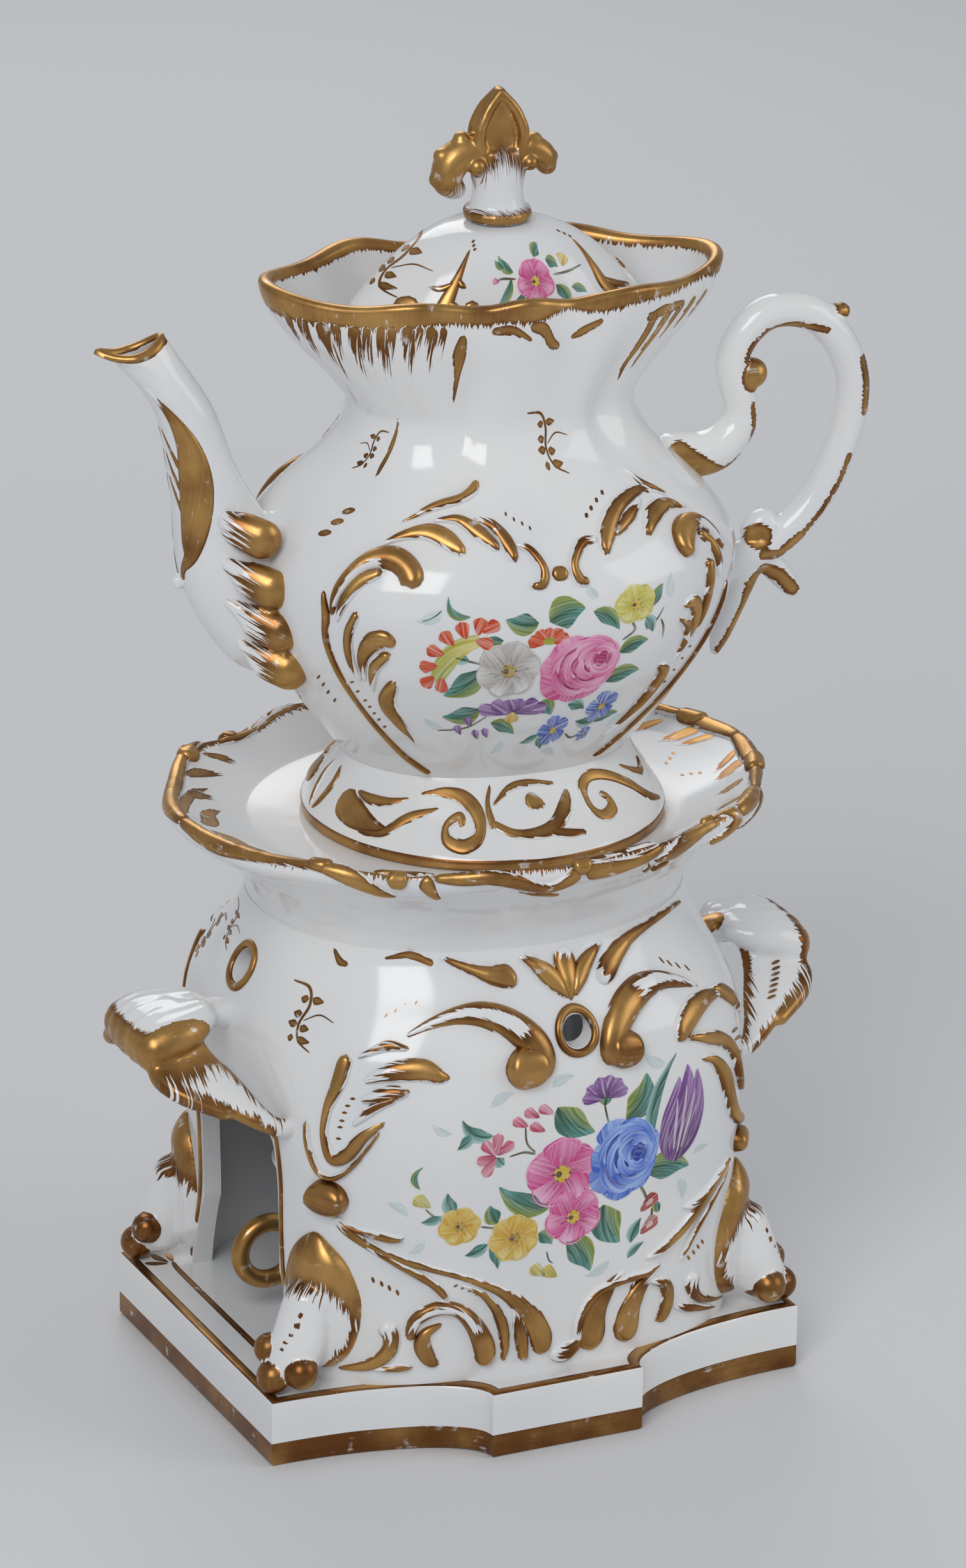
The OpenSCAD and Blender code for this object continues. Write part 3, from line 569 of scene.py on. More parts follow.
LEAF_DARK, LEAF_TEAL, LEAF_LIME = (0.035, 0.13, 0.06), (0.10, 0.33, 0.30), (0.30, 0.36, 0.05)
LEAF_PALE, LEAF_GHOST = (0.42, 0.60, 0.58), (0.66, 0.745, 0.75)
STEM_BROWN, STEM_GREEN = (0.13, 0.06, 0.03), (0.10, 0.20, 0.09)
LEAF_GREEN, LEAF_SMALL = (LEAF_DARK, LEAF_TEAL, LEAF_LIME), (LEAF_TEAL, LEAF_DARK, LEAF_PALE)
STEM = (STEM_BROWN, STEM_GREEN, STEM_BROWN)
STEM_LIFT, LEAF_LIFT, VEIN_LIFT, LAYER = 0.07, 0.075, 0.105, 0.011
PETAL_LIFT, FOLD_LIFT, LINE_LIFT, HEART_LIFT, DOT_LIFT = 0.13, 0.183, 0.185, 0.2, 0.235
ROSE_LIFT, CURL_LIFT, SHADE_LIFT, CURL_LAYER, ROSE_HEART_LIFT = 0.19, 0.25, 0.265, 0.03, 0.37


def leaf(surface, start, end, half, bend=0.12, colours=LEAF_GREEN, layer=0):
    """A painted leaf from its stalk to its tip, dark on one side of the vein and light on the other."""
    start, end = np.array(start, float), np.array(end, float)
    side = np.array([start[1] - end[1], end[0] - start[0]]) * bend
    rows = [
        (*mix(start, end, t) + side * 4 * t * (1 - t), half * w)
        for t, w in ((0, 0.12), (0.15, 0.62), (0.35, 1.0), (0.6, 0.86), (0.82, 0.42), (1, 0.06))
    ]
    made = [stroke(surface, rows, LEAF_LIFT + LAYER * layer, colours=colours, ragged=0.25)]
    if half > 1.5:
        vein = [(s, h, 0.16) for s, h, w in rows[:5]]
        made.append(stroke(surface, vein, VEIN_LIFT + LAYER * layer, colours=(LEAF_DARK,) * 3, ragged=0.2))
    return made


def greenery(surface, ghosts, stems, leaves, small):
    """What lies under a spray's flowers: faint leaves, stems, and leaves, some of the small ones bluer."""
    made = []
    for a, b, c, d, half in ghosts:
        made += leaf(surface, (a, b), (c, d), half, colours=(LEAF_GHOST,) * 3)
    made += strands(surface, stems, lift=STEM_LIFT, colours=STEM)
    for i, (a, b, c, d, half, bend) in enumerate(leaves):
        tones = LEAF_SMALL if half < small and i % 3 else LEAF_GREEN
        made += leaf(surface, (a, b), (c, d), half, bend, tones, i % 5)
    return made


def ray(turn, squash=1.0):
    return np.array([np.cos(turn), np.sin(turn) * squash])


def petal(surface, centre, turn, inner, outer, half, lift, colours, squash=1.0, ragged=0.5):
    """One stroke out from a flower's middle, broadest near its end."""
    rows = [
        (*(np.array(centre) + ray(turn, squash) * mix(inner, outer, t)), half * w)
        for t, w in ((0, 0.22), (0.3, 0.62), (0.65, 1.0), (0.85, 1.0), (1, 0.72))
    ]
    return stroke(surface, rows, lift, colours=colours, ragged=ragged)


def knob_tint(surface, centre, radius, colour, lift, tall=1.0):
    """A round dab of one colour."""
    (s, h), half = centre, radius * tall
    rows = [(s - radius, h, half * 0.8), (s, h, half), (s + radius, h, half * 0.8)]
    return stroke(surface, rows, lift, colours=(colour,) * 3, ragged=0.2, step=0.35)


def crescent(surface, centre, radius, start, end, half, lift, colours, squash=1.0):
    """A bent stroke round a middle, from one turn to another."""
    rows = [
        (centre[0] + radius * np.cos(a), centre[1] + radius * squash * np.sin(a), half * w)
        for a, w in zip(np.linspace(start, end, 5), (0.15, 0.8, 1, 0.8, 0.15))
    ]
    return stroke(surface, rows, lift, colours=colours, ragged=0.35)


def flower(surface, centre, radius, colours, petals=5, turn=0.3, squash=1.0, heart=(0.72, 0.52, 0.06)):
    """An open flower: petals shaded from the heart outwards, fine veins, and a heart dotted with brown."""
    made, centre = [], np.array(centre, float)
    deep, pale, middle = (np.array(colour) for colour in colours)
    for i in range(petals):
        angle = turn - 2 * np.pi * i / petals
        long = radius * (1 + 0.08 * np.sin(5.1 * i + turn))
        outer = tuple(mix(pale, middle, 0.15 + 0.25 * np.sin(angle)))
        made.append(petal(
            surface, centre, angle, 0.15 * radius, long, 2.75 / petals * radius, PETAL_LIFT + 0.009 * i,
            (tuple(mix(middle, deep, 0.55)), outer, tuple(mix(deep, middle, 0.75))), squash, 0.22,
        ))
        if radius > 4:
            made.append(crescent(
                surface, centre + 0.42 * radius * ray(angle, squash), 0.58 * radius,
                angle - 1.1, angle + 1.0, 0.24, FOLD_LIFT, (colours[2], colours[1], colours[2]), squash,
            ))
        for off in (-0.16, 0.14):
            tip = ray(angle + off, squash)
            rows = [(*(centre + tip * radius * r), 0.13) for r in (0.28, 0.42, 0.58 - 0.4 * off)]
            made.append(stroke(surface, rows, LINE_LIFT, colours=(colours[0],) * 3, ragged=0.6))
    made.append(knob_tint(surface, centre, 0.24 * radius, heart, HEART_LIFT))
    made.append(knob_tint(surface, centre - [0.09 * radius, 0], 0.09 * radius, STEM_BROWN, DOT_LIFT))
    for i in range(6):
        spot = ray(i * 1.05) * 0.22 * radius
        made += dashes(
            surface, [centre + spot], (spot[0] + 0.01, spot[1]), 0.07 * radius, 0.035 * radius,
            lift=DOT_LIFT, colours=(STEM_BROWN,) * 3,
        )
    return made


def rose(surface, centre, wide, tall, heart, deep, middle, pale):
    """A full rose: broad outer petals, then crescents that close in round a heart set to one side."""
    made, centre, heart = [], np.array(centre, float), np.array(heart, float)
    squash = tall / wide
    for i, angle in enumerate(np.linspace(6.3, 0.4, 8)):
        edge = tuple(mix(np.array(pale), np.array(middle), 0.35 - 0.35 * np.sin(angle)))
        made.append(petal(
            surface, mix(centre, heart, 0.1), angle, 0.1 * wide, wide * (0.97 + 0.07 * np.sin(3 * i)),
            0.43 * wide, ROSE_LIFT + 0.007 * i, (deep, edge, middle), squash, 0.3,
        ))
    for i, (far, size) in enumerate(((0.35, 0.72), (0.6, 0.56), (0.85, 0.42), (1.0, 0.28))):
        middle_place = mix(centre, heart, far)
        for k in range(4):
            start = 0.7 * i + k * np.pi / 2
            made.append(crescent(
                surface, middle_place, size * wide, start, start + 1.9, 0.15 * wide,
                CURL_LIFT + CURL_LAYER * i + 0.004 * k,
                (pale, middle, pale) if k % 2 else (middle, pale, deep), squash,
            ))
            made.append(crescent(
                surface, middle_place, (size - 0.11) * wide, start + 0.2, start + 1.6, 0.05 * wide,
                SHADE_LIFT + CURL_LAYER * i, (deep, deep, middle), squash,
            ))
    made.append(knob_tint(surface, heart, 0.12 * wide, deep, ROSE_HEART_LIFT))
    return made


PINK = ((0.46, 0.012, 0.15), (0.90, 0.52, 0.70), (0.76, 0.09, 0.36))
YELLOW = ((0.62, 0.33, 0.03), (0.80, 0.66, 0.20), (0.72, 0.48, 0.05))
PURPLE = ((0.10, 0.022, 0.16), (0.40, 0.19, 0.50), (0.20, 0.06, 0.30))
CRIMSON = ((0.42, 0.01, 0.06), (0.80, 0.30, 0.40), (0.62, 0.05, 0.16))
BLUE = ((0.015, 0.05, 0.38), (0.045, 0.15, 0.65), (0.37, 0.54, 0.92))
RED_ROSE = ((0.44, 0.01, 0.14), (0.72, 0.11, 0.34), (0.88, 0.48, 0.65))
YELLOW_BUD = ((0.42, 0.36, 0.03), (0.72, 0.62, 0.16), (0.5, 0.42, 0.04))
BERRY = ((0.45, 0.02, 0.01), (0.50, 0.05, 0.02), (0.3, 0.02, 0.01))
BERRY_LIGHT, TULIP_LIGHT, OCHRE = (0.7, 0.55, 0.5), (0.62, 0.52, 0.60), (0.5, 0.35, 0.05)

vent_ring_r, vent_ring_s = 5.1, 3.7
scrolls = [
    stroke(
        stove_at,
        [(-44.5, 109.5, 0.5), (-38, 112, 1.2), (-30, 113.7, 1.9), (-22, 113.6, 2.7), (-14.5, 111, 3.5),
         (-8.5, 106.5, 3.9), (-6.8, 101.5, 3.8), (-9.5, 98.2, 3.3)],
        0, 2.6, 1.3, white=(-0.45, 0.3, 0.02, 0.72),
    ),
    knob_on(stove_at, -10.6, 100.9, 5.8, 5.5, 3.8),
    stroke(
        stove_at, [(50, 109, 0.4), (43, 111.6, 1.4), (35, 113.6, 2.2), (27, 113.2, 3.1), (19.5, 110.4, 3.7),
                   (14.4, 106, 3.6), (12.6, 101.5, 3.4), (14.6, 98.6, 2.8)],
        0, 2.6, 1.3, white=(-0.5, 0.35, 0.0, 0.55),
    ),
    knob_on(stove_at, 16.2, 101.3, 5.0, 5.0, 3.6),
]
scrolls += strands(stove_at, [
    [(-37, 126, 0.5), (-28, 123.6, 1.1), (-20, 121.6, 1.9), (-14.5, 121, 2.7), (-11.4, 119, 1.5)],
    [(-10, 125, 0.4), (-5, 122.5, 1.9), (0, 119, 2.7), (3.5, 114.6, 0.6)],
    [(20, 125, 0.4), (14, 122.6, 1.7), (9, 119.2, 2.3), (5, 115, 0.8)],
    [(5.4, 126, 2.2), (5, 122.4, 3.7), (4.5, 117.4, 2.3), (4, 114, 0.5)],
    [(14.5, 116.5, 1.4), (18, 118.7, 2.6), (24, 121.6, 2.3), (32, 123.8, 1.5), (44, 125, 1.0),
     (60, 125.3, 0.8),
     (70, 124.4, 0.4)],
], relief=1.8, ragged=0.8, dry=(5, 0), feather=(0.4, 0.2))
scrolls += strands(stove_at, [ring_rows(vent_ring_s, plinth_top + vent_h, vent_ring_r, 1.05)], relief=0.9)
scrolls += strands(stove_at, [
    [(-60, 104.4, 2.3), (-60.4, 98, 2.2), (-62, 91, 1.4), (-61.8, 84, 1.2), (-59, 78.6, 1.7),
     (-55.4, 80.4, 2.0),
     (-51.6, 86, 1.7), (-47, 89.6, 0.8)],
    [(-67.5, 86.5, 0.6), (-66, 80, 1.0), (-62.5, 74.4, 1.1), (-58, 73.8, 0.9), (-53, 78.6, 0.7),
     (-48, 87, 0.5)],
], relief=1.5, ragged=1.1, feather=(0, 1.0))
scrolls += strands(stove_at, [
    [(-54, 99, 0.8), (-47, 101.6, 2.4), (-39, 102.2, 2.7), (-34, 100.8, 1.8), (-31, 100.2, 0.5)],
    [(-54, 94.4, 0.8), (-47, 96.4, 2.1), (-41.4, 97.2, 0.9)],
    [(-55, 88, 0.6), (-49.4, 93.4, 1.4), (-44.6, 95.8, 0.9)],
    [(-57, 104, 0.5), (-50, 107, 1.3), (-43, 106.8, 0.5)],
    [(62, 103.5, 0.5), (56, 105.5, 1.3), (49, 106, 2.1), (42, 105, 2.9), (36, 102.4, 2.9), (33, 99.6, 1.5)],
    [(70, 95, 0.6), (65, 100, 1.7), (60, 104.4, 2.1), (54.5, 106.6, 0.8)],
    [(70, 68, 1.0), (61, 69.4, 1.5), (55, 73, 1.9), (51.4, 79, 2.3), (49.4, 86, 2.3), (45.4, 91.4, 1.5),
     (41, 93, 0.6)],
    [(67, 75.4, 0.6), (60, 78.8, 1.1), (57.2, 84, 1.4), (55, 91, 1.8), (50, 95.6, 2.1), (43, 98, 1.7),
     (37, 99.6, 0.8)],
], relief=1.7, ragged=1.5, dry=(12, 0), feather=(1.2, 0.1))
scrolls += [knob_on(stove_at, -59.8, 67.6, 5.6, 4.8, 4.2), knob_on(stove_at, 60.7, 63.8, 4.4, 3.3, 3.2)]
scrolls += strands(stove_at, [
    [(-58, 63, 1.1), (-54, 59.6, 1.5), (-45, 54, 1.3), (-35, 49.6, 1.0), (-25, 45.6, 1.0), (-15, 40.2, 1.6),
     (-8, 33.6, 3.0), (-4.2, 27, 3.4), (-4, 21.6, 2.4)],
    [(-57, 62, 0.7), (-50, 60, 1.0), (-44, 58.5, 1.3), (-41, 58.5, 0.6)],
    [(-50, 56.4, 0.5), (-42, 51, 0.9), (-34, 45.4, 1.3), (-30.4, 41, 1.0)],
    [(-27, 44.4, 0.4), (-20, 40, 1.1), (-15.6, 33, 1.7), (-14.4, 26, 1.3), (-14.8, 21.4, 0.6)],
    [(-12.4, 36.6, 0.6), (-10, 28.4, 1.9), (-8.9, 20.8, 1.5)],
    [(26, 42, 0.5), (31, 44, 1.3), (37, 48, 1.6), (42, 53, 1.4), (47, 58.4, 1.1), (53, 62, 0.6)],
    [(37, 38.4, 0.3), (40, 44.4, 0.8), (46, 53, 0.9), (52, 60.4, 0.4)],
    [(36.6, 53.6, 0.4), (40, 54, 1.2), (44.6, 56.6, 0.7)],
    [(-1.6, 21.4, 1.0), (2, 20.8, 2.6), (5.6, 22.4, 2.0), (8, 25, 0.8)],
    [(20, 40, 0.6), (15.6, 36.4, 2.0), (11.8, 31, 3.6), (10.8, 24.4, 4.4), (11.2, 20, 2.6)],
    [(30, 38.4, 0.5), (26.4, 35.4, 1.8), (22.8, 30, 3.2), (21.6, 24.4, 4.0), (21.8, 20, 2.4)],
    [(6.4, 23.4, 1.0), (7.6, 30.6, 1.4), (11.6, 35.6, 1.3), (18, 37.5, 1.1), (26, 38, 1.0), (31, 39.4, 0.4)],
    [(28, 35.6, 0.8), (33, 33.4, 1.7), (34.4, 28.6, 1.9), (33, 24.6, 1.7), (30.8, 23.4, 0.6)],
    [(-45.4, 34.6, 2.7), (-43.6, 30.4, 2.1), (-44.6, 26, 2.0), (-49, 22.8, 1.5), (-56, 21.2, 0.4)],
    [(-48, 22, 0.5), (-42, 22.4, 1.2), (-38.4, 22.4, 0.4)],
    [(42.2, 33.8, 3.0), (42.6, 29.4, 1.9), (45, 26, 1.4), (50, 23.4, 1.0), (57, 21, 0.5)],
    [(36.4, 26, 0.4), (41, 24.4, 1.3), (47, 22.3, 0.9), (52, 20.4, 0.4)],
], relief=1.5, ragged=1.2, dry=(7, 0), feather=(0.1, 1.0))
scrolls += [
    stroke(
        stove_at, [(-39.4, 29.6, 1.2), (-38, 35, 1.7), (-33, 38, 1.9), (-27.5, 37, 1.9), (-23, 32.4, 2.4),
                   (-20, 26, 3.0), (-19.8, 20.8, 2.7)],
        0, 1.9, 1.2, white=(-0.3, 0.35, 0.12, 0.7),
    ),
    stroke(
        stove_at,
        [(-31.4, 33.6, 0.5), (-35.4, 31.4, 1.5), (-36.2, 28, 2.2), (-34.4, 24, 1.9), (-32, 22.4, 0.6)],
        0, 1.6, 0.8,
    ),
]
touches = dash_rows(
    stove_at,
    ([(-56, 94.5), (-57, 92.6), (-57.5, 90.8), (-57.8, 88.7), (-58, 87), (-58, 84)], (1, 0.05), 1.5, 0.32),
    ([(-48, 46.6), (-46, 45.6), (-44.2, 44.4), (-42.3, 43.1)], (0.3, -1), 1.8, 0.36),
    ([(-28, 43.9), (-26.1, 43.1), (-24.2, 42.1), (-22.2, 40.9)], (0.9, 0.5), 1.3, 0.3),
    ([(41.4, 116.8), (44, 115.6), (47, 114.4), (50.5, 113)], (0.5, -1), 1.9, 0.36),
    ([(40.4, 38.2), (42, 39.2), (43.4, 40.3), (44.8, 41.2)], (0.7, -1), 1.9, 0.33),
    ([(22.5, 35), (24, 36), (25.5, 37)], (0.5, 1), 1.8, 0.3),
    ([(-52, 113.3), (-49.4, 114.4), (-46.8, 115.6), (-43.3, 116.2)], (0.6, 1), 1.0, 0.22),
)
touches += strands(stove_at, [
    [(57.5, 94.4, 0.3), (60, 94.2, 0.5), (63, 93.6, 0.2)], [(58.4, 92, 0.3), (63, 91, 0.5), (69, 88.4, 0.2)],
    [(59, 88.4, 0.3), (63, 86.8, 0.5), (69, 83, 0.2)], [(59.4, 84.6, 0.3), (64, 82, 0.5), (68.4, 78.8, 0.2)],
    [(-57, 125, 0.3), (-48, 126.2, 0.9), (-39, 124.4, 0.8)],
    [(-75, 125.4, 0.4), (-72, 122.8, 0.9), (-69, 122.4, 0.5)],
], ragged=0.8)


def sprig(surface, s, h, size=1.0, lean=1.0):
    """A small gilt sprig: a bent stem, leaves in pairs and a curl."""
    def put(rows):
        return [(s + lean * size * a, h + size * b, size * w) for a, b, w in rows]

    leaves = ((-3, -1.4), (3.2, -1.8), (-2.6, 1.2), (4.2, 5.4), (-2.4, 5), (-1.6, -5), (4.6, -4.8))
    made = strands(surface, [
        put([(-9, 8.4, 0.2), (-2, 8, 0.4), (1, 4, 0.5), (0, -1, 0.4), (2, -5, 0.3), (7.4, -7.2, 0.15)]),
        put([(1, 0, 0.12), (6, 2.4, 0.2), (12, 1.4, 0.1)]),
    ], step=0.5)
    for a, b in leaves:
        rows = put([(a * 0.2 + 0.2, b + 0.4, 0.2), (a * 0.65, b, 1.05), (a * 1.35, b + 0.1, 0.2)])
        made.append(stroke(surface, rows, ragged=0.12, step=0.5))
    return made


touches += sprig(stove_at, -77, 109, 0.85)


def stove_bouquet(pink, blue, second):
    """The stove's spray: two open flowers, a rose, a tulip, and buds and small flowers round them."""
    ghosts = (
        (-20, 92, -14, 95, 1.4), (-4, 95, 2, 97, 1.4), (28, 95, 22, 99, 1.4), (34, 62, 36, 56, 1.4),
        (15, 44, 8, 41, 1.4), (-45, 68, -40, 64, 1.12), (-30, 86, -35, 89, 0.98), (38, 68, 43, 69, 0.98),
        (-36, 57, -40, 54, 0.98),
    )
    stems = (
        [(-15, 78, 0.2), (-11, 78.6, 0.3), (-8, 77.6, 0.3)],
        [(-11, 85.5, 0.2), (-10.4, 81, 0.25), (-8, 78, 0.25)],
        [(-36, 66, 0.2), (-33, 63, 0.3), (-30, 61.6, 0.2)],
        [(21.4, 65, 0.3), (24, 60.6, 0.4), (25, 58.4, 0.3)],
        [(10, 89, 0.2), (11, 85, 0.25), (12, 82, 0.2)],
        [(-22, 59.6, 0.2), (-18, 58.6, 0.3), (-16, 57.6, 0.2)],
        [(26.6, 56, 0.25), (26.8, 54, 0.3), (26.4, 52, 0.25)],
        [(-3.6, 50, 0.15), (-2.8, 47.4, 0.2), (-1.6, 46.4, 0.15)],
    )
    leaves = (
        (-2.5, 89.4, 8, 81, 3.9, -0.1), (16.6, 82.6, 22, 94, 4.0, -0.15), (25, 73.6, 32, 97, 1.8, 0.16),
        (23.6, 66.6, 37, 65.2, 3.8, 0.1), (12, 60, 17.6, 48.6, 4.4, -0.1), (2, 52, 9.4, 42.2, 3.8, 0.1),
        (-3.4, 62.2, -17.4, 70, 3.2, 0.12), (-19.4, 84.4, -27.4, 89.4, 1.9, 0.2),
        (-25, 85.6, -28.4, 81.6, 1.5, 0.1),
        (-37.4, 71.6, -36.8, 77.6, 0.8, 0.3), (-28.6, 63.6, -30.6, 70, 1.9, 0.1),
        (-32, 63.6, -37, 62.4, 1.3, 0.1),
        (-17.4, 60, -19.6, 65.2, 2.3, 0.1), (-20, 54.6, -25.8, 52, 1.6, 0.1),
        (-19.4, 53.4, -17, 47.2, 1.4, 0.1),
        (-6.2, 55.4, -2.2, 51.8, 2.0, 0.1), (21, 47.6, 23.6, 54, 1.8, 0.1), (20.4, 43.4, 25.2, 47, 1.2, 0.1),
        (29, 54.4, 27.6, 58.4, 1.2, 0.1), (-16.2, 76, -18.6, 78.4, 1.5, 0.1),
    )
    made = greenery(stove_at, ghosts, stems, leaves, 2.2)
    made += flower(stove_at, (3.4, 58.4), 7.8, pink, 5, 0.9, 0.95)
    made += flower(stove_at, (-0.5, 71), 9.8, pink, 5, 0.35, 0.95)
    made += rose(stove_at, (16.2, 72), 10.2, 12.2, (20.8, 73), *blue)
    made += flower(stove_at, (-27.4, 60.4), 5.3, YELLOW, 6, 0.2, 0.95, OCHRE)
    made += flower(stove_at, (-12.8, 55.2), 6.6, YELLOW, 7, 0.6, 0.95, OCHRE)
    tulip = (
        [(31.4, 68, 0.8), (29.6, 73, 2.3), (30, 80, 2.7), (31.6, 86.6, 1.6), (32.4, 90.6, 0.2)],
        [(32.8, 68, 0.8), (36, 73, 2.2), (37.8, 80, 2.6), (38.4, 86.6, 1.6), (38.6, 91, 0.2)],
        [(32, 67.6, 1.0), (32.8, 73, 3.2), (34, 81, 3.6), (35.2, 88.6, 2.0), (35.4, 93, 0.2)],
    )
    for i, rows in enumerate(tulip):
        made.append(stroke(stove_at, rows, 0.15 + 0.03 * i, colours=second, ragged=0.4))
    for foot, tip in (((31.4, 71), (31.6, 85)), ((32.6, 70), (34.6, 88)), ((33.6, 71), (37.2, 85))):
        middle = mix(np.array(foot), np.array(tip), 0.5)
        rows = [(*foot, 0.2), (*middle, 0.42), (*tip, 0.15)]
        made.append(stroke(stove_at, rows, 0.25, colours=(TULIP_LIGHT,) * 3))
    for turn in (0.25, 0.8, 1.35, 1.9, 2.5, 3.0):
        lift = 0.14 + 0.01 * turn
        made.append(petal(stove_at, (10.4, 89.6), turn, 0.4, 6.4, 1.5, lift, second, 0.95, 0.6))
    made += leaf(stove_at, (10.4, 87.6), (10.6, 91.6), 1.6, 0, layer=4)
    for turn, far in ((0.6, 5.4), (1.5, 6), (2.3, 5.4), (3.4, 5.2), (4.2, 6.2)):
        lift = 0.14 + 0.01 * turn
        made.append(petal(stove_at, (-18.4, 78.8), turn, 0.3, far, 1.4, lift, CRIMSON, 1.0, 0.6))
    for place in ((-12.4, 86.8), (-7.8, 84.8), (-9.4, 88.8), (-5.6, 89.2)):
        made.append(petal(stove_at, place, 2.6, -2.4, 2.2, 1.3, 0.15, CRIMSON, 1.0, 0.6))
    for place in ((25.4, 57.6), (26, 51.2)):
        made.append(petal(stove_at, place, 0.7, -2.8, 3.2, 1.9, 0.14, BERRY))
        made.append(petal(stove_at, place, 0.7, -1.0, 1.6, 0.8, 0.19, (BERRY_LIGHT,) * 3))
    for place in ((-5.8, 45), (-2.4, 44), (-36.8, 68)):
        made.append(petal(stove_at, place, 2.5, -2.6, 2.4, 1.7, 0.14, YELLOW_BUD))
    return made


paint_both("stove_scrolls", scrolls + touches, "warmer", "warmer_body")
front_spray, back_spray = stove_bouquet(PINK, BLUE, PURPLE), stove_bouquet(YELLOW, RED_ROSE, BLUE)
paint("stove_flowers_front", front_spray, "warmer", "warmer_body", ENAMEL)
paint("stove_flowers_back", back_spray, "warmer", "warmer_body", ENAMEL, flip=BACK)

# Trims of the stove's ends: a gilt line round the door and along its sill, and a gilt ring round each
# draught hole, with a small sprig above. They are drawn with a full brush on the fired glaze.


def end_at(s, h):
    """Outer face of the door's end, from the back to the front and up."""
    half_len, half_dep, square, bow = stove_section(h)
    x = -half_len * np.clip(1 - (np.abs(s) / (half_dep * (1 - bow))) ** square, 0, 1) ** (1 / square)
    return stacked(x, -s, h)


def floor_at(s, h):
    return stacked(s, h, plinth_top)


door_line = 2.4
jamb_s = door_half + door_line
rows = [
    (-door_foot_half - door_line, plinth_top + 1), (-jamb_s, plinth_top + door_flare_h),
    (-jamb_s, plinth_top + door_h),
]
rows += [
    (-jamb_s * np.cos(a), plinth_top + door_h + (door_rise + door_line) * np.sin(a)) for a in head[2:-2:3]
]
rows += [(-s, h) for s, h in rows[2::-1]]
door_frame = [stroke(end_at, [(*row, 0.75) for row in rows], 0.0, 0.7, 0.5)]
vent_ring = [stroke(end_at, ring_rows(0, plinth_top + end_vent_h, 5.0, 1.1), 0.0, 0.9, 0.4)]
end_sprig = sprig(end_at, -15, 117, 0.6)
paint("door_trims", door_frame + end_sprig + vent_ring, "warmer", "warmer_body")
paint("closed_end_trims", vent_ring + end_sprig, "warmer", "warmer_body", flip=(-1, 1, 1))
sill_x = -63.0
sill = strands(floor_at, [
    [(sill_x + 0.6, 37, 0.5), (sill_x, 30, 0.8), (sill_x, 0, 0.9), (sill_x, -30, 1.0),
     (sill_x - 1, -36, 0.7)],
    [(sill_x - 0.6, 37, 0.3), (sill_x - 2, 40, 1.1), (sill_x - 2.6, 43, 0.5)],
    [(sill_x - 1, 36.4, 0.3), (sill_x - 4, 37.6, 1.1), (sill_x - 6.4, 38.8, 0.5)],
    [(sill_x + 0.6, 37, 0.3), (sill_x + 1, 40, 0.9), (sill_x + 1.2, 42.4, 0.4)],
], lift=0.06)
paint("sill_line", sill, "warmer", "stove_floor")

# Scroll feet: an acanthus leaf draped over each corner of the stove, which rolls out into a toe.
# They are pressed in moulds, luted on, and gilded with a dry brush down from their tips.


def ball(centre, radii, sides=16):
    """Points and faces of an ellipsoid."""
    down = np.radians(np.linspace(0, 180, sides // 2 + 1))[1:-1, None]
    turn = full_turn(sides)[None, :]
    unit = stacked(np.sin(down) * np.cos(turn), np.sin(down) * np.sin(turn), np.cos(down))
    return np.asarray(centre) + unit.reshape(-1, 3) * radii, loft_faces(len(down), sides)


def roll(rows, step=1.2):
    """Rolled paste: ellipsoids strung along rows of x, y, z and three radii."""
    return [ball(row[:3], row[3:]) for row in smooth_path(rows, step, 3)[0]]


def fuse(forms, voxel=0.7, smooth=6):
    """One skin round overlapping forms, smoothed as a wet sponge smooths the paste."""
    blank = plain(*joined(forms))
    skin = blank.modifiers.new("skin", "REMESH")
    skin.mode = "VOXEL"
    skin.voxel_size = voxel * MM
    sponge = blank.modifiers.new("sponge", "SMOOTH")
    sponge.factor = 0.5
    sponge.iterations = smooth
    return finished(blank)


def line_distance(points, line):
    """Distance of points from a line through given places."""
    line = np.asarray(line, float)
    best = np.full(len(points), 1e9)
    for a, b in zip(line, line[1:]):
        along = np.clip((points - a) @ (b - a) / ((b - a) @ (b - a)), 0, 1)
        best = np.minimum(best, np.linalg.norm(points - a - along[:, None] * (b - a), axis=1))
    return best


foot_mid_s = -63.0
leaf_line = [
    (foot_mid_s, 57.5, 1.2), (foot_mid_s, 52.5, 7), (-62.6, 46, 10.4), (-62.4, 39, 12), (-62.8, 32, 11.6),
    (-64, 26, 10), (-66, 21, 7.5),
]
draped = stroke(stove_at, leaf_line, 0.0, 4.6)
toe = np.array([-65.5, -42.0, plinth_top + 7])
foot_forms = [(draped["points"], draped["faces"])]
foot_forms += roll([(-60, -41, 40, 6, 6, 5), (-62, -41.6, 31, 7, 7, 6), (*(toe + [1.5, 0, 1]), 6.6, 7, 6.6)])
toe_lobes = [(toe + [-3.4, 3.4, 3.0], 4.0), (toe + [-4.2, -1.0, -2.6], 4.4), (toe + [1.2, -5.4, -0.6], 4.4)]
foot_forms += [ball(centre, np.full(3, radius)) for centre, radius in toe_lobes]
points, faces = fuse(foot_forms, 0.6, 5)
points[:, 2] = np.maximum(points[:, 2], plinth_top)


def stove_place(points):
    """Distance run round the wall at points near it."""
    angle = np.mod(np.arctan2(points[:, 1], points[:, 0]) + np.pi / 2, 2 * np.pi) - np.pi / 2
    marks = np.linspace(-stove_run / 2, stove_run / 2, 2001)
    angles = np.unwrap(stove_angle(marks))
    angles = angles - angles[len(marks) // 2] - np.pi / 2
    angle = np.where(angle > np.pi / 2, angle - 2 * np.pi, angle)
    return np.interp(angle, angles, marks)


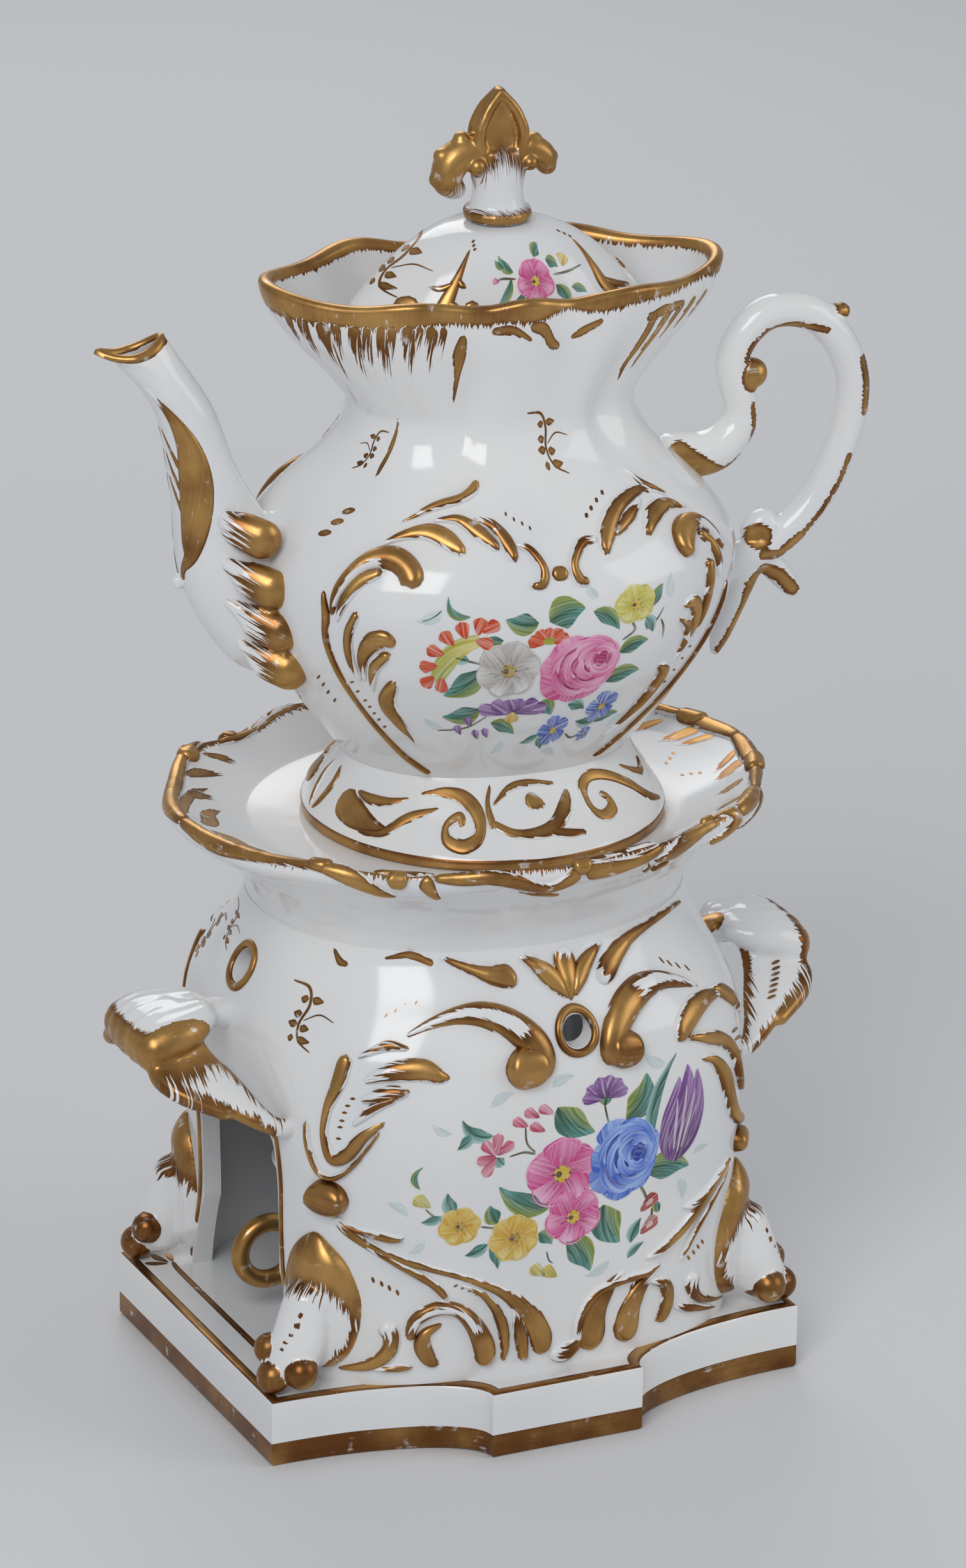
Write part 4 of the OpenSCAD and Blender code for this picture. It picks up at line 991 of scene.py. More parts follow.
foot_s, foot_z = stove_place(points), points[:, 2]
leaf_half = np.interp(foot_z, [r[1] for r in leaf_line[::-1]], [r[2] for r in leaf_line[::-1]])
across_leaf = (foot_s - foot_mid_s) / leaf_half
gold_edge = np.interp(
    across_leaf, (-1, -0.6, -0.2, 0.15, 0.4, 0.6, 0.8, 1.0), (41, 43, 43.5, 42, 38, 32, 26, 21),
)
foot_gilt = (foot_z - gold_edge) * 0.3
leaf_rim = [(-53, 46), (-52, 39), (-53, 32), (-55.4, 26.6), (-59, 22.4), (-62.6, 19)]
leaf_rim_half, leaf_rim_fade = 4.4, 0.7
from_rim = line_distance(np.column_stack([foot_s, foot_z]), leaf_rim)
foot_gilt = np.maximum(foot_gilt, (leaf_rim_half - from_rim) * leaf_rim_fade)
lobe_share, lobe_spill = 0.93, 0.45
for centre, radius in toe_lobes:
    from_lobe = np.linalg.norm(points - centre, axis=1)
    foot_gilt = np.maximum(foot_gilt, radius * lobe_share - from_lobe + lobe_spill)
pip_r, pip_squash = 0.75, 1.6
for s, z in ((-67, 38.5), (-67.6, 36), (-68.6, 33.6), (-69.6, 31.6), (-70.2, 29.8)):
    foot_gilt = np.maximum(foot_gilt, pip_r - np.hypot(foot_s - s, (foot_z - z) * pip_squash))
foot_gilt = np.clip(foot_gilt, -3, 3)
toe_reach, leaf_ragged, toe_ragged = 11, 2.2, 0.3
foot_ragged = np.where(np.linalg.norm(points - toe, axis=1) > toe_reach, leaf_ragged, toe_ragged)
foot_brush = stacked(foot_z, foot_s * 1.1, foot_ragged)
for name, flip in (
    ("front_left_foot", (1, 1, 1)), ("front_right_foot", (-1, 1, 1)),
    ("rear_left_foot", (1, -1, 1)), ("rear_right_foot", (-1, -1, 1)),
):
    shape(name, points * flip, faces, "warmer", name, gilt=foot_gilt, brush=foot_brush)

# Hood handles: a canopy of two drooping leaves on each end of the stove, by which it is lifted.
# They are moulded apart in soft paste, luted to the wall and fired with it, then gilded leaf by leaf.
flap = [
    (81.5, 2, 101.4, 8.6, 2.3, 2.3), (82.5, 8, 98, 9.2, 2.2, 2.2), (80.8, 14, 94.4, 9.4, 2.2, 2.2),
    (76.6, 20, 91, 8.2, 2.2, 2.2), (71.4, 26, 87, 5.6, 2.2, 2.2), (65, 31, 83, 2.8, 2.2, 2.4),
    (58.5, 32, 82, 2.6, 2.2, 2.6),
]
flap_path, flap_run = smooth_path(flap, 0.9, 3)
hood_forms = []
for side in (-1, 1):
    hood_forms += [ball(row[:3] * [1, side, 1], row[3:]) for row in flap_path]
    hood_forms += roll([
        (86, side * 8, 95.4, 2.4, 2.4, 2.4), (88, side * 13.4, 93.6, 2.5, 2.5, 2.5),
        (87.4, side * 17, 92.2, 2.4, 2.4, 2.6),
        (84, side * 21.6, 90, 2.3, 2.3, 2.4), (76, side * 27, 86.4, 1.6, 1.6, 1.8),
    ])
    hood_forms += roll([
        (74, side * 6, 103.4, 4.5, 4.4, 3.4), (81, side * 8.5, 101.4, 7.5, 6, 5),
        (87, side * 9, 98.6, 5.6, 6, 6),
    ])
for side in (-1, 1):
    hood_forms += roll([
        (74, side * 3, 103.6, 5, 4, 3.6), (83, side * 4.6, 102.2, 6.5, 4.8, 4.6),
        (88.6, side * 5, 98.8, 4.4, 4.8, 5.8),
    ])
hood_forms += roll([(56, 0, 100, 4.4, 4.4, 4.4), (68, 0, 101.6, 4.0, 4.2, 4.0), (80, 0, 103, 4.6, 5, 4.2)])
hood_forms += roll([(80, 0, 103.6, 5, 5, 3.6), (86, 0, 101.8, 5, 6, 4.2), (89.6, 0, 98.6, 3.6, 6, 5)])
points, faces = fuse(hood_forms, 0.7, 9)
half_points = np.column_stack([points[:, 0], np.abs(points[:, 1]), points[:, 2]])
inner_edge = [(74.5, 9, 97.6), (72.4, 14, 94.4), (70, 20, 91), (67, 26, 86.6), (63.4, 31, 83)]
outer_edge = [(89, 13.4, 93.6), (88, 17, 92.2), (84, 21.6, 90), (76, 27, 86.4), (67, 31.6, 82)]
flap_way = np.array([-0.3, 0.75, -0.6])
along_flap = half_points @ flap_way
inner_half, outer_half, edge_fade = 2.0, 2.7, 0.7
hood_gilt = np.maximum(
    (inner_half - line_distance(half_points, inner_edge)) * edge_fade,
    (outer_half - line_distance(half_points, outer_edge)) * edge_fade,
)
rod_line, rod_patch_r = [(60, -2, 104), (69, -2, 105.4)], 3.2
rod_patch = rod_patch_r - line_distance(points, rod_line)
x, y, z = half_points.T
cap_z, cap_foot_z, cap_mid_x, cap_from_x, cap_half = 104.4, 97.4, 84, 73, 15
cap_sides = np.minimum(cap_half - y, x - cap_from_x) * 0.5
lobes = np.minimum((cap_z - z - 0.12 * np.abs(x - cap_mid_x)) * 0.8, cap_sides)
wash_from_y, wash_to_y, wash_x = 11, 21, 82
flap_wash = (wash_to_y - y) * 0.2 - np.clip(wash_x - x, 0, 9) * 0.08
shell_gilt = np.maximum(np.maximum(hood_gilt, lobes), np.where(y > wash_from_y, flap_wash, -2))
peak_x, peak_z = 87.4, 91
peak_wash = np.minimum((x - peak_x) * 0.4, (z - peak_z) * 0.3)
leaf_gilt = np.maximum(np.maximum(hood_gilt, rod_patch), peak_wash)
on_cap = (y < cap_half + 1) & (z > cap_foot_z - 0.15 * y)
hood_brush = stacked(
    np.where(on_cap, x + z, along_flap), np.where(on_cap, y * 1.6, x * 1.2), np.where(on_cap, 0.9, 1.8),
)
for name, flip, gilt in (("right_hood_handle", 1, leaf_gilt), ("left_hood_handle", -1, shell_gilt)):
    shape(name, points * [flip, 1, 1], faces, "warmer", name, gilt=np.clip(gilt, -3, 3), brush=hood_brush)


def flap_at(s, h):
    """Upper face of the right canopy's front leaf, along it and across it."""
    row = [np.interp(s, flap_run, flap_path[:, k]) for k in range(6)]
    bulge = np.sqrt(np.clip(1 - (h / row[3]) ** 2, 0.05, 1)) * row[4] * 1.02
    return stacked(row[0] - h, -row[1] - bulge * 0.6, row[2] + bulge * 0.8)


places = [(9.5 + 2.0 * i, 0.8 - 0.12 * i) for i in range(9)]
touches = dashes(flap_at, places, (0.25, 1), 2.4, 0.42, lift=0.12)
paint_both("right_hood_dashes", touches, "warmer", "right_hood_handle")

# Dish: a flared, waved dish that closes the stove's neck and lets the heat up to the teapot.
# Its moulded rim is rolled into scrolls and shells, which are gilded and feathered inwards.
dish_len, dish_dep, dish_h = 152.0, 124.0, 26.4
dish_floor_z = neck_z + 19.2
heat_hole_r, dish_t = 33.0, 4.6
dish_waves, dish_wave, dish_end_calm = 10, 1.5, 0.75
wave_rise = 0.7
flat_half = np.array([54.0, 49.0])
floor_ease, floor_ease_h, hole_round = 2.5, 0.4, 1.2
dish_sides, dish_mm_per_turn = 320, 69.0
# Shares of the dish's spread, of its height and of its wave, from the neck to the flat floor
dish_profile = [
    (0, 0, 0), (0.09, 0.20, 0), (0.30, 0.44, 0.1), (0.62, 0.64, 0.4), (0.90, 0.78, 0.9), (1.0, 0.86, 1),
    (1.02, 0.93, 1), (0.985, 0.99, 1), (0.94, 0.985, 1), (0.84, 0.95, 0.8), (0.55, 0.85, 0.3),
]
profile_mm = [20, 26, 20]
dish_rows, dish_run = smooth_path(np.array(dish_profile) * profile_mm, 0.7, 2)
dish_rows = dish_rows / profile_mm
rim_row = int(np.argmax(dish_rows[:, 1]))
dish_turn = full_turn(dish_sides)


def dish_wall(angle, spread, height, wave):
    half_len = mix(neck_len, dish_len, spread) / 2
    half_dep = mix(neck_dep, dish_dep, spread) / 2
    ripple = dish_wave * wave * np.cos(dish_waves * angle) * (1 - dish_end_calm * np.abs(np.cos(angle)) ** 6)
    x, y = oval(half_len, half_dep, angle, mix(2.1, 2.0, height))
    reach = 1 + ripple / np.hypot(x, y)
    return stacked(x * reach, y * reach, neck_z + dish_h * height + wave_rise * ripple)


def level_oval(half, z, sides, square=2.0):
    """Level ring of an oval from its half length and half depth."""
    return stacked(*oval(*half, full_turn(sides), square), z)


spread, height, wave = (dish_rows[:, k:k + 1] for k in range(3))
skin = dish_wall(dish_turn[None, :], spread, height, wave)
neck_half = np.array([neck_len, neck_dep]) / 2
hole_half = np.full(2, heat_hole_r)
floor_rings = [
    (flat_half + floor_ease, dish_floor_z + floor_ease_h), (flat_half, dish_floor_z),
    (hole_half + hole_round, dish_floor_z), (hole_half, dish_floor_z - hole_round),
    (hole_half, dish_floor_z - dish_t),
    (neck_half - (wall_t + dish_t), dish_floor_z - 1.4 * dish_t), (neck_half - wall_t, neck_z),
]
rings = np.concatenate([skin, [level_oval(half, z, dish_sides) for half, z in floor_rings]])
rim_distance = dish_run - dish_run[rim_row]
rim_band, rim_band_mid = 1.7, 0.4
dish_gilt = np.full(rings.shape[:2], -3.0)
dish_gilt[:len(skin)] = (rim_band - np.abs(rim_distance - rim_band_mid))[:, None] * 0.7
over_rim = np.zeros((len(rings), 1))
over_rim[:len(skin), 0] = rim_distance
shape(
    "warmer_dish", *loft(rings, closed=True), "warmer", "warmer_dish",
    gilt=dish_gilt, brush=stacked(over_rim, dish_turn * dish_mm_per_turn, 2.0),
)

# Rim of the dish: scrolls and peas rolled on in slip round the edge, which the firing makes one with it.
# Gold is laid over them and feathered in and out with a dry brush.


def dish_at(s, h):
    """Skin of the dish from the middle of the front: round it, and over the rim from outside to inside."""
    angle = s / dish_mm_per_turn - np.pi / 2
    spread, height, wave = (np.interp(h, rim_distance, dish_rows[:, k]) for k in range(3))
    floor_edge = stacked(*oval(*(flat_half + floor_ease), angle), dish_floor_z + floor_ease_h)
    slope = floor_edge - dish_wall(angle, *dish_rows[-1])
    slope = slope / np.linalg.norm(slope, axis=-1, keepdims=True)
    return dish_wall(angle, spread, height, wave) + slope * np.clip(h - rim_distance[-1], 0, None)[..., None]


rim_scrolls = strands(dish_at, [
    [(-109, 0.2, 1.8), (-102, 0, 2.6), (-94, -0.5, 3.0), (-85, 0.4, 2.8), (-76, 0.6, 2.2), (-66, 0, 1.9),
     (-58, -2.2, 2.3), (-52, -5.4, 2.2),
     (-48, -7.4, 1.0)],
    [(-54, 1.8, 0.6), (-49, 1.2, 1.8), (-42, 1.0, 1.2), (-38, 1.6, 0.5)],
    [(-41, -0.6, 2.6), (-39, -4, 2.0), (-37, -8, 1.4)],
    [(-38, -1, 1.2), (-30, -1.6, 1.9), (-22, -2.2, 1.9), (-14, -4.6, 2.3), (-7, -6.8, 2.6), (-1, -4, 2.4),
     (2, -1.4, 2.2)],
    [(-16, -7.6, 0.5), (-10, -9.4, 1.7), (-4, -11.4, 2.2), (-2, -12.6, 1.0)],
    [(4, -2.6, 2.6), (12, -3.4, 2.4), (20, -2.8, 1.6), (27, -1, 1.2)],
    [(5, 1, 1.6), (14, 1.2, 1.4), (22, 1.4, 1.2), (28, 2, 0.5)],
    [(22, -4.5, 0.6), (22.6, -6.6, 1.2), (23, -8.6, 1.0)],
    [(30, -5, 1.0), (28.6, -8.4, 1.8), (26.6, -10, 0.9)],
    [(24, -4.4, 0.8), (31, -3.4, 2.2), (38, -1.4, 2.4), (45, -0.4, 1.8), (51, -0.4, 1.2)],
    [(45, 2.2, 0.6), (50, 2.6, 1.4), (55, 1, 1.7), (57.4, -2.4, 2.0), (53, -5.4, 2.0), (48, -4.6, 1.0)],
    [(58, -1.6, 1.4), (63, -0.4, 2.8), (69, 0.6, 3.0), (75, 1.2, 1.4)],
    [(60, -7.4, 0.6), (64, -6, 1.8), (70, -3, 1.8), (76, -0.4, 0.6)],
    [(74, 0, 1.0), (82, 0.4, 1.8), (89, 0.2, 2.2)], [(94, 1, 2.8), (100, 1.2, 2.8), (109, 0.6, 1.8)],
], relief=1.1, ragged=1.5, feather=(0.5, 1.0))
rim_peas = (
    (-47.5, -1.5, 2.6, 2.2), (3, -0.4, 3.0, 2.8), (50.4, 2, 2.0, 1.8), (92, 0.6, 4.0, 2.8), (-66, 1, 3, 2.8),
)
rim_scrolls += [knob_on(dish_at, *pea, 2.0) for pea in rim_peas]
rim_strokes = strands(dish_at, [
    [(-38, 1.2, 0.8), (-24, 1.0, 0.7), (-12, 1.6, 0.6), (-2, 1.4, 0.9)],
    [(-88, 4, 0.6), (-84, 8, 2.4), (-83, 13, 0.5)],
    [(-106, 6, 1.0), (-102.8, 9, 2.4), (-95.8, 10, 2.2), (-89.8, 14, 0.5)],
    [(-101, 3, 0.8), (-92, 4, 1.8), (-84, 6, 1.6), (-77, 10, 0.5)],
    [(-76, 3, 1.0), (-71, 6, 2.0), (-66, 11, 0.5)],
    [(-62, 3, 0.8), (-58, 7, 1.8), (-57, 11, 0.6)], [(38, 3, 1.6), (34, 7, 1.4), (31, 10, 0.5)],
    [(50, 4, 1.6), (46, 8, 1.6), (42, 11, 0.5)], [(62, 3, 1.4), (58, 7, 1.5), (54, 11, 0.4)],
    [(72, 3, 1), (69, 7, 1.2), (66, 10, 0.4)],
    [(86, 4, 0.8), (83, 8, 1.6), (80, 12, 0.5)], [(97, 3, 2.0), (94, 8, 2.2), (91, 12, 0.5)],
    [(103, 3, 1.4), (99.6, 8, 1.2), (97, 11, 0.4)],
], ragged=1.4, feather=(0.6, 0), dry=(0, 4))
rim_strokes += dashes(dish_at, [(100, 14), (101.6, 16), (103, 18)], (1, 0.2), 1.8, 0.4)
paint_both("dish_rim", rim_scrolls + rim_strokes, "warmer", "warmer_dish")

# Oil cup: a white tapered cup thrown on the wheel, with a flared lip, which slides in through the door.
# A gilded finger ring of rolled paste is luted to its side so that it can be drawn out hot.
cup_low, cup_high = low("oil_cup"), high("oil_cup")
cup_x, cup_z = (cup_low[0] + cup_high[0]) / 2, cup_low[2]
cup_lip_r, cup_h = (cup_high[0] - cup_low[0]) / 2, cup_high[2] - cup_low[2]
cup_throat_r, cup_foot_r, cup_throat_h, cup_wall = 14.0, 11.0, 33.0, 2.4
cup_sides = 96


def turned(rows, sides):
    """Rings of a piece turned about the cup's middle, from pairs of radius and height."""
    angle = full_turn(sides)
    return np.array([stacked(cup_x + r * np.cos(angle), r * np.sin(angle), z) for r, z in rows])


cup_rows = [
    (0.5, 0.8), (cup_foot_r - 2.6, 0.8), (cup_foot_r - 2, 0), (cup_foot_r - 0.4, 0.1), (cup_foot_r, 0.6),
    (cup_foot_r, cup_wall), (mix(cup_foot_r, cup_throat_r, 0.5), mix(cup_wall, cup_throat_h, 0.5)),
    (cup_throat_r, cup_throat_h - 1), (cup_throat_r + 1.1, cup_throat_h + 2.6), (cup_lip_r, cup_h - 1.2),
    (cup_lip_r, cup_h - 0.5), (cup_lip_r - 0.5, cup_h), (cup_lip_r - 1.2, cup_h - 0.1),
    (cup_lip_r - 1.7, cup_h - 0.8),
    (cup_throat_r - 1.2, cup_throat_h + 2.4), (cup_throat_r - cup_wall, cup_throat_h - 1),
    (cup_foot_r - cup_wall + 0.2, cup_wall + 1.2), (cup_foot_r - cup_wall - 1, cup_wall), (0.5, cup_wall),
]
rings = turned([(r, cup_z + z) for r, z in cup_rows], cup_sides)
shape("oil_cup", *loft(rings), "oil_cup", "oil_cup", sharp=60)

ring_low, ring_high = low("oil_cup_ring"), high("oil_cup_ring")
ring_t = ring_high[1] - ring_low[1]
ring_mid_z = (ring_low[2] + ring_high[2]) / 2
ring_r = (ring_high[2] - ring_low[2] - ring_t) / 2
ring_x = ring_low[0] + ring_t / 2 + ring_r
ring_sides, bar_sides = 96, 28
around_ring, around_bar = np.meshgrid(full_turn(ring_sides), full_turn(bar_sides), indexing="ij")
reach = ring_r + ring_t / 2 * np.cos(around_bar)
x, y = ring_x + reach * np.cos(around_ring), ring_t / 2 * np.sin(around_bar)
rings = stacked(x, y, ring_mid_z + reach * np.sin(around_ring))
shape(
    "oil_cup_ring", *loft(rings, closed=True), "oil_cup", "oil_cup_ring", slot="gilding",
    gilt=np.full(rings.shape[:2], 2.0), brush=stacked(x, y, 0.5),
)

# Float: a cork disc under a tin plate, with a tin tube through both that holds the cotton wick.
# It is loose in the cup, rests on its taper when dry and rises with the oil.
float_sides = 72


def turned_piece(name, rows, finish, slot):
    shape(name, *loft(turned(rows, float_sides), closed=True), "float", name, finish, slot)


def cork_finish():
    finish, wire, shader = new_finish("cut_cork")
    place = wire.node("TexCoord", output="Object")
    grain = place.cloud(650.0, 5.0)
    pits = place.cloud(1500.0, 3.0).ease(0.60, 0.70)
    bark = grain.ease(0.3, 0.7).between((0.50, 0.31, 0.15, 1), (0.66, 0.46, 0.27, 1))
    feed(
        shader, base_color=pits.between(bark, (0.20, 0.10, 0.05, 1)), roughness=0.78 + grain * 0.15,
        normal=(grain - pits).bump(0.6, 0.0003),
    )
    return finish


def tin_finish():
    finish, wire, shader = new_finish("dull_tin")
    place = wire.node("TexCoord", output="Object")
    dull = place.cloud(400.0, 4.0)
    feed(
        shader, base_color=dull.ease(0.3, 0.7).between((0.42, 0.42, 0.43, 1), (0.62, 0.62, 0.63, 1)),
        metallic=1.0, roughness=0.25 + dull * 0.25,
        normal=dull.bump(0.2, 0.0001),
    )
    return finish


def cotton_finish():
    finish, wire, shader = new_finish("twisted_cotton")
    place = wire.node("TexCoord", output="Object")
    fluff = place.cloud(3000.0, 3.0)
    tip = float(high("wick")[2]) * MM
    burnt = (place.part(2) + fluff * 0.002).ease(tip - 0.0012, tip)
    yarn = fluff.ease(0.3, 0.7).between((0.66, 0.60, 0.48, 1), (0.86, 0.82, 0.72, 1))
    feed(
        shader, base_color=burnt.between(yarn, (0.02, 0.017, 0.015, 1)), roughness=0.9,
        normal=fluff.bump(0.5, 0.0001),
    )
    return finish


TIN = tin_finish()
float_z, cork_top = low("float_cork")[2], high("float_cork")[2]
cork_r = high("float_cork")[0] - cup_x
tube_r, wick_r = high("wick_tube")[0] - cup_x, high("wick")[0] - cup_x
turned_piece("float_cork", [
    (tube_r, float_z), (cork_r - 1, float_z), (cork_r - 0.3, float_z + 0.3), (cork_r, float_z + 1),
    (cork_r, cork_top - 1), (cork_r - 0.3, cork_top - 0.3), (cork_r - 1, cork_top), (tube_r, cork_top),
], cork_finish(), "cork")
plate_r, plate_top = high("float_plate")[0] - cup_x, high("float_plate")[2]
turned_piece("float_plate", [
    (tube_r, cork_top), (plate_r, cork_top), (plate_r, plate_top), (plate_r - 0.8, plate_top),
    (plate_r - 1.1, plate_top - 0.15), (tube_r + 1, plate_top - 0.15), (tube_r, plate_top),
], TIN, "tin")
tube_low, tube_top = low("wick_tube")[2], high("wick_tube")[2]
turned_piece("wick_tube", [
    (wick_r, tube_low), (tube_r, tube_low), (tube_r, tube_top - 0.2), (tube_r - 0.15, tube_top),
    (wick_r, tube_top),
], TIN, "tin")
wick_low, wick_top = low("wick")[2], high("wick")[2]
wick_plies, wick_twist, wick_groove = 3, 1.8, 0.12
wick_sides, wick_levels = 24, 60
angles, heights = np.meshgrid(full_turn(wick_sides), np.linspace(wick_low, wick_top, wick_levels))
yarn_r = wick_r * (1 - wick_groove + wick_groove * np.cos(wick_plies * angles + heights * wick_twist))
rings = stacked(cup_x + yarn_r * np.cos(angles), yarn_r * np.sin(angles), heights)
shape("wick", *loft(rings), "float", "wick", cotton_finish(), "cotton")

# Teapot foot: a hollow, spreading skirt on which the teapot stands loose in the dish.
# It is cast with the waist and painted with scrolls between two gold lines.
pot_x, pot_y, pot_turn = 3.9, -1.8, np.radians(-7)
pot_z, waist_z = low("teapot_foot")[2], high("teapot_foot")[2]
pot_foot_r, pot_wall_t, pot_square = 45.0, 3.6, 2.15
waist = np.array((72.0, 54))


def on_dish(points):
    """Turns points of the teapot's own frame to where it stands on the dish."""
    x, y, z = np.moveaxis(np.asarray(points, float), -1, 0)
    c, s = np.cos(pot_turn), np.sin(pot_turn)
    return stacked(pot_x + c * x - s * y, pot_y + s * x + c * y, z)


skirt_mm, skirt_sides, skirt_levels = 18.0, 240, 40
# Shares of the way in from the foot's edge to the waist and of the height, under which the edge is rounded
skirt = np.array([[0, 0.10], [0, 0.16], [0.22, 0.36], [0.50, 0.58], [0.80, 0.80], [1, 1]])
skirt_rows = np.vstack([[[0.35, 0], [0.08, 0.1]], smooth_path(skirt * skirt_mm, 0.6, 2)[0]])


def skirt_wall(angle, z, inset=0.0):
    share = np.interp(z - pot_z, skirt_rows[:, 1], skirt_rows[:, 0]) / skirt_mm
    half_len, half_dep = (mix(2 * pot_foot_r, waist[k], share) / 2 - inset for k in (0, 1))
    return stacked(*oval(half_len, half_dep, angle, mix(2.0, pot_square, share)), z)


levels = pot_z + np.linspace(0, waist_z - pot_z, skirt_levels)
angles, heights = np.meshgrid(full_turn(skirt_sides), levels)
rings = np.concatenate([skirt_wall(angles, heights), skirt_wall(angles, heights, pot_wall_t + 1)[::-1]])
x, y, z = np.moveaxis(rings, -1, 0)
foot_band, foot_band_mid, foot_band_top = 1.9, 1.0, 5
shape(
    "teapot_foot", *loft(on_dish(rings), closed=True), "teapot", "teapot_foot",
    gilt=np.where(z < pot_z + foot_band_top, foot_band - np.abs(z - pot_z - foot_band_mid), -1),
    brush=stacked(x + y, z, 0.25),
)


def skirt_at(s, h):
    return skirt_wall(s / pot_foot_r - np.pi / 2, pot_z + h)


skirt_scrolls = strands(skirt_at, [
    [(-40, 6.4, 0.6), (-46, 6.8, 1.8), (-52, 7.8, 3.0), (-57, 9.2, 3.4), (-60, 10.6, 2.6)],
    [(-55, 12.3, 0.4), (-50, 11.6, 1.1), (-44, 11.8, 1.0), (-38, 13.2, 0.3)],
    [(-49, 5, 0.5), (-42, 5.6, 1.1), (-36, 9.6, 1.2), (-28, 12, 0.3)],
    [(-35, 14.4, 0.3), (-28, 15, 1.0), (-21, 14, 1.5), (-15.8, 11, 1.8), (-15.4, 7.4, 1.6), (-19, 5.4, 1.5),
     (-23.6, 6.4, 1.3),
     (-24.4, 9, 1.2), (-21.6, 10.6, 1.1), (-19.6, 9.2, 1.3)],
    [(-12, 16.4, 0.6), (-13, 13, 0.9), (-12, 10, 1.2), (-11, 8.6, 0.9)],
    [(-11, 12.6, 0.4), (-5, 15.4, 0.8), (3, 16.2, 0.7), (13, 15.4, 0.4)],
    [(-11.4, 9.4, 0.8), (-4, 7.4, 0.9), (5, 7.8, 1.3), (12, 10.8, 1.5), (16.6, 13.8, 0.7)],
    [(4, 7.6, 0.7), (9, 6.6, 1.0), (15, 6.2, 0.5)],
    [(0, 12.4, 1.1), (3, 12.8, 1.6), (6.4, 12, 0.6)],
    [(51, 4.6, 0.4), (44.6, 7.4, 1.2), (40, 11.6, 1.4), (34, 14.6, 1.3), (27, 15.4, 1.2), (21.8, 13.4, 1.3),
     (20.4, 10, 1.4),
     (23, 8, 1.2), (27.6, 8.8, 1.2), (28.4, 11, 1.0), (26.4, 11.8, 0.7)],
    [(42, 15, 0.5), (47, 12.4, 1.1), (51, 11.6, 0.9), (56, 13.6, 0.4)],
    [(-68, 15, 0.4), (-66.6, 11, 1.2), (-68, 6.6, 0.9), (-70, 4, 0.3)],
], relief=0.45, ragged=1.1, feather=(0.6, 0))
paint_both("foot_scrolls", skirt_scrolls, "teapot", "teapot_foot", on_dish)

# Teapot body: cast in a mould with four soft flutes in its neck and a waved, flaring mouth.
# The mouth is gilded and feathered down the flutes, and a gallery inside it carries the lid.
belly, neck, mouth = (np.array(pair) for pair in ((122.6, 100), (71, 52), (114, 61)))
belly_h, pot_neck_h = 50.0, 90.0
rim_z = waist_z + 121.6
pot_rim_h = rim_z - waist_z
lid_seat_z = rim_z - 16.6
gallery_w, gallery_h, gallery_round, gallery_square = 6.0, 7.0, 0.6, 2.05
pot_waves, pot_wave = 8, 1.4
flutes = np.radians([-122, -43, 43, 122])
flute_deep, flute_h, flute_room, flute_half = 3.0, 96, 17, 0.16
pot_sides, pot_mm_per_turn = 288, 52
pot_turns = full_turn(pot_sides)


def swell(share):
    return (1 - np.cos(np.pi * share)) / 2


def pot_half(axis, h):
    low_part = mix(waist[axis], belly[axis], np.sin(np.pi / 2 * np.clip(h / belly_h, 0, 1)))
    high_part = mix(belly[axis], neck[axis], swell(np.clip((h - belly_h) / (pot_neck_h - belly_h), 0, 1)))
    flare = np.clip((h - pot_neck_h) / (pot_rim_h - pot_neck_h), 0, 1)
    top_part = mix(neck[axis], mouth[axis], (np.sin(np.pi / 2 * flare) + swell(flare)) / 2)
    return np.where(h <= belly_h, low_part, np.where(h <= pot_neck_h, high_part, top_part)) / 2


def pot_wall(angle, z, inset=0.0):
    h = z - waist_z
    x, y = oval(pot_half(0, h) - inset, pot_half(1, h) - inset, angle, pot_square)
    flare = np.clip((h - pot_neck_h) / (pot_rim_h - pot_neck_h), 0, 1)
    ripple = pot_wave * flare * np.cos(pot_waves * angle)
    depth = flute_deep * np.exp(-((h - flute_h) / flute_room) ** 2)
    for flute in flutes:
        off = np.angle(np.exp(1j * (angle - flute)))
        ripple = ripple - depth * np.exp(-(off / flute_half) ** 2)
    reach = 1 + ripple / np.hypot(x, y)
    return stacked(x * reach, y * reach, z + wave_rise * np.maximum(ripple, -pot_wave) * flare)


def pot_levels(levels):
    """Rings of the teapot's wall from pairs of inset and height."""
    inset, z = np.array(levels).T[:, :, None]
    return pot_wall(pot_turns, z, inset)


seat_half = np.array([pot_half(k, lid_seat_z - waist_z) - pot_wall_t for k in (0, 1)])
lip = [(0, -1.6), (0.1, -0.9), (0.5, -0.3), (1.2, 0), (2.2, 0), (3.0, -0.4), (3.5, -1.1)]
outside = [(0, z) for z in np.linspace(waist_z, rim_z - 2.2, 84)] + [(i, rim_z + z) for i, z in lip]
inside = [(pot_wall_t, z) for z in np.linspace(rim_z - 2.5, lid_seat_z + 0.5, 14)]
below = [(pot_wall_t, z) for z in np.linspace(lid_seat_z - gallery_h - 8, waist_z + 4.6, 40)]
gallery_half = seat_half - gallery_w
gallery = [
    (seat_half, lid_seat_z), (gallery_half + gallery_round, lid_seat_z),
    (gallery_half, lid_seat_z - gallery_round), (gallery_half, lid_seat_z - gallery_h),
]
rings = np.concatenate([
    pot_levels(outside), pot_levels(inside),
    [level_oval(half, z, pot_sides, gallery_square) for half, z in gallery], pot_levels(below),
])
pot_gilt = np.full(rings.shape[:2], -4.0)
rim_count = len(outside)
mouth_band, mouth_band_lean = 4.6, 1.5
band = mouth_band - mouth_band_lean * np.cos(pot_turns)
band = band + 0.6 * np.cos(7 * pot_turns) + 0.4 * np.cos(13 * pot_turns + 1)
pot_gilt[:rim_count] = rings[:rim_count, :, 2] - (rim_z - band)
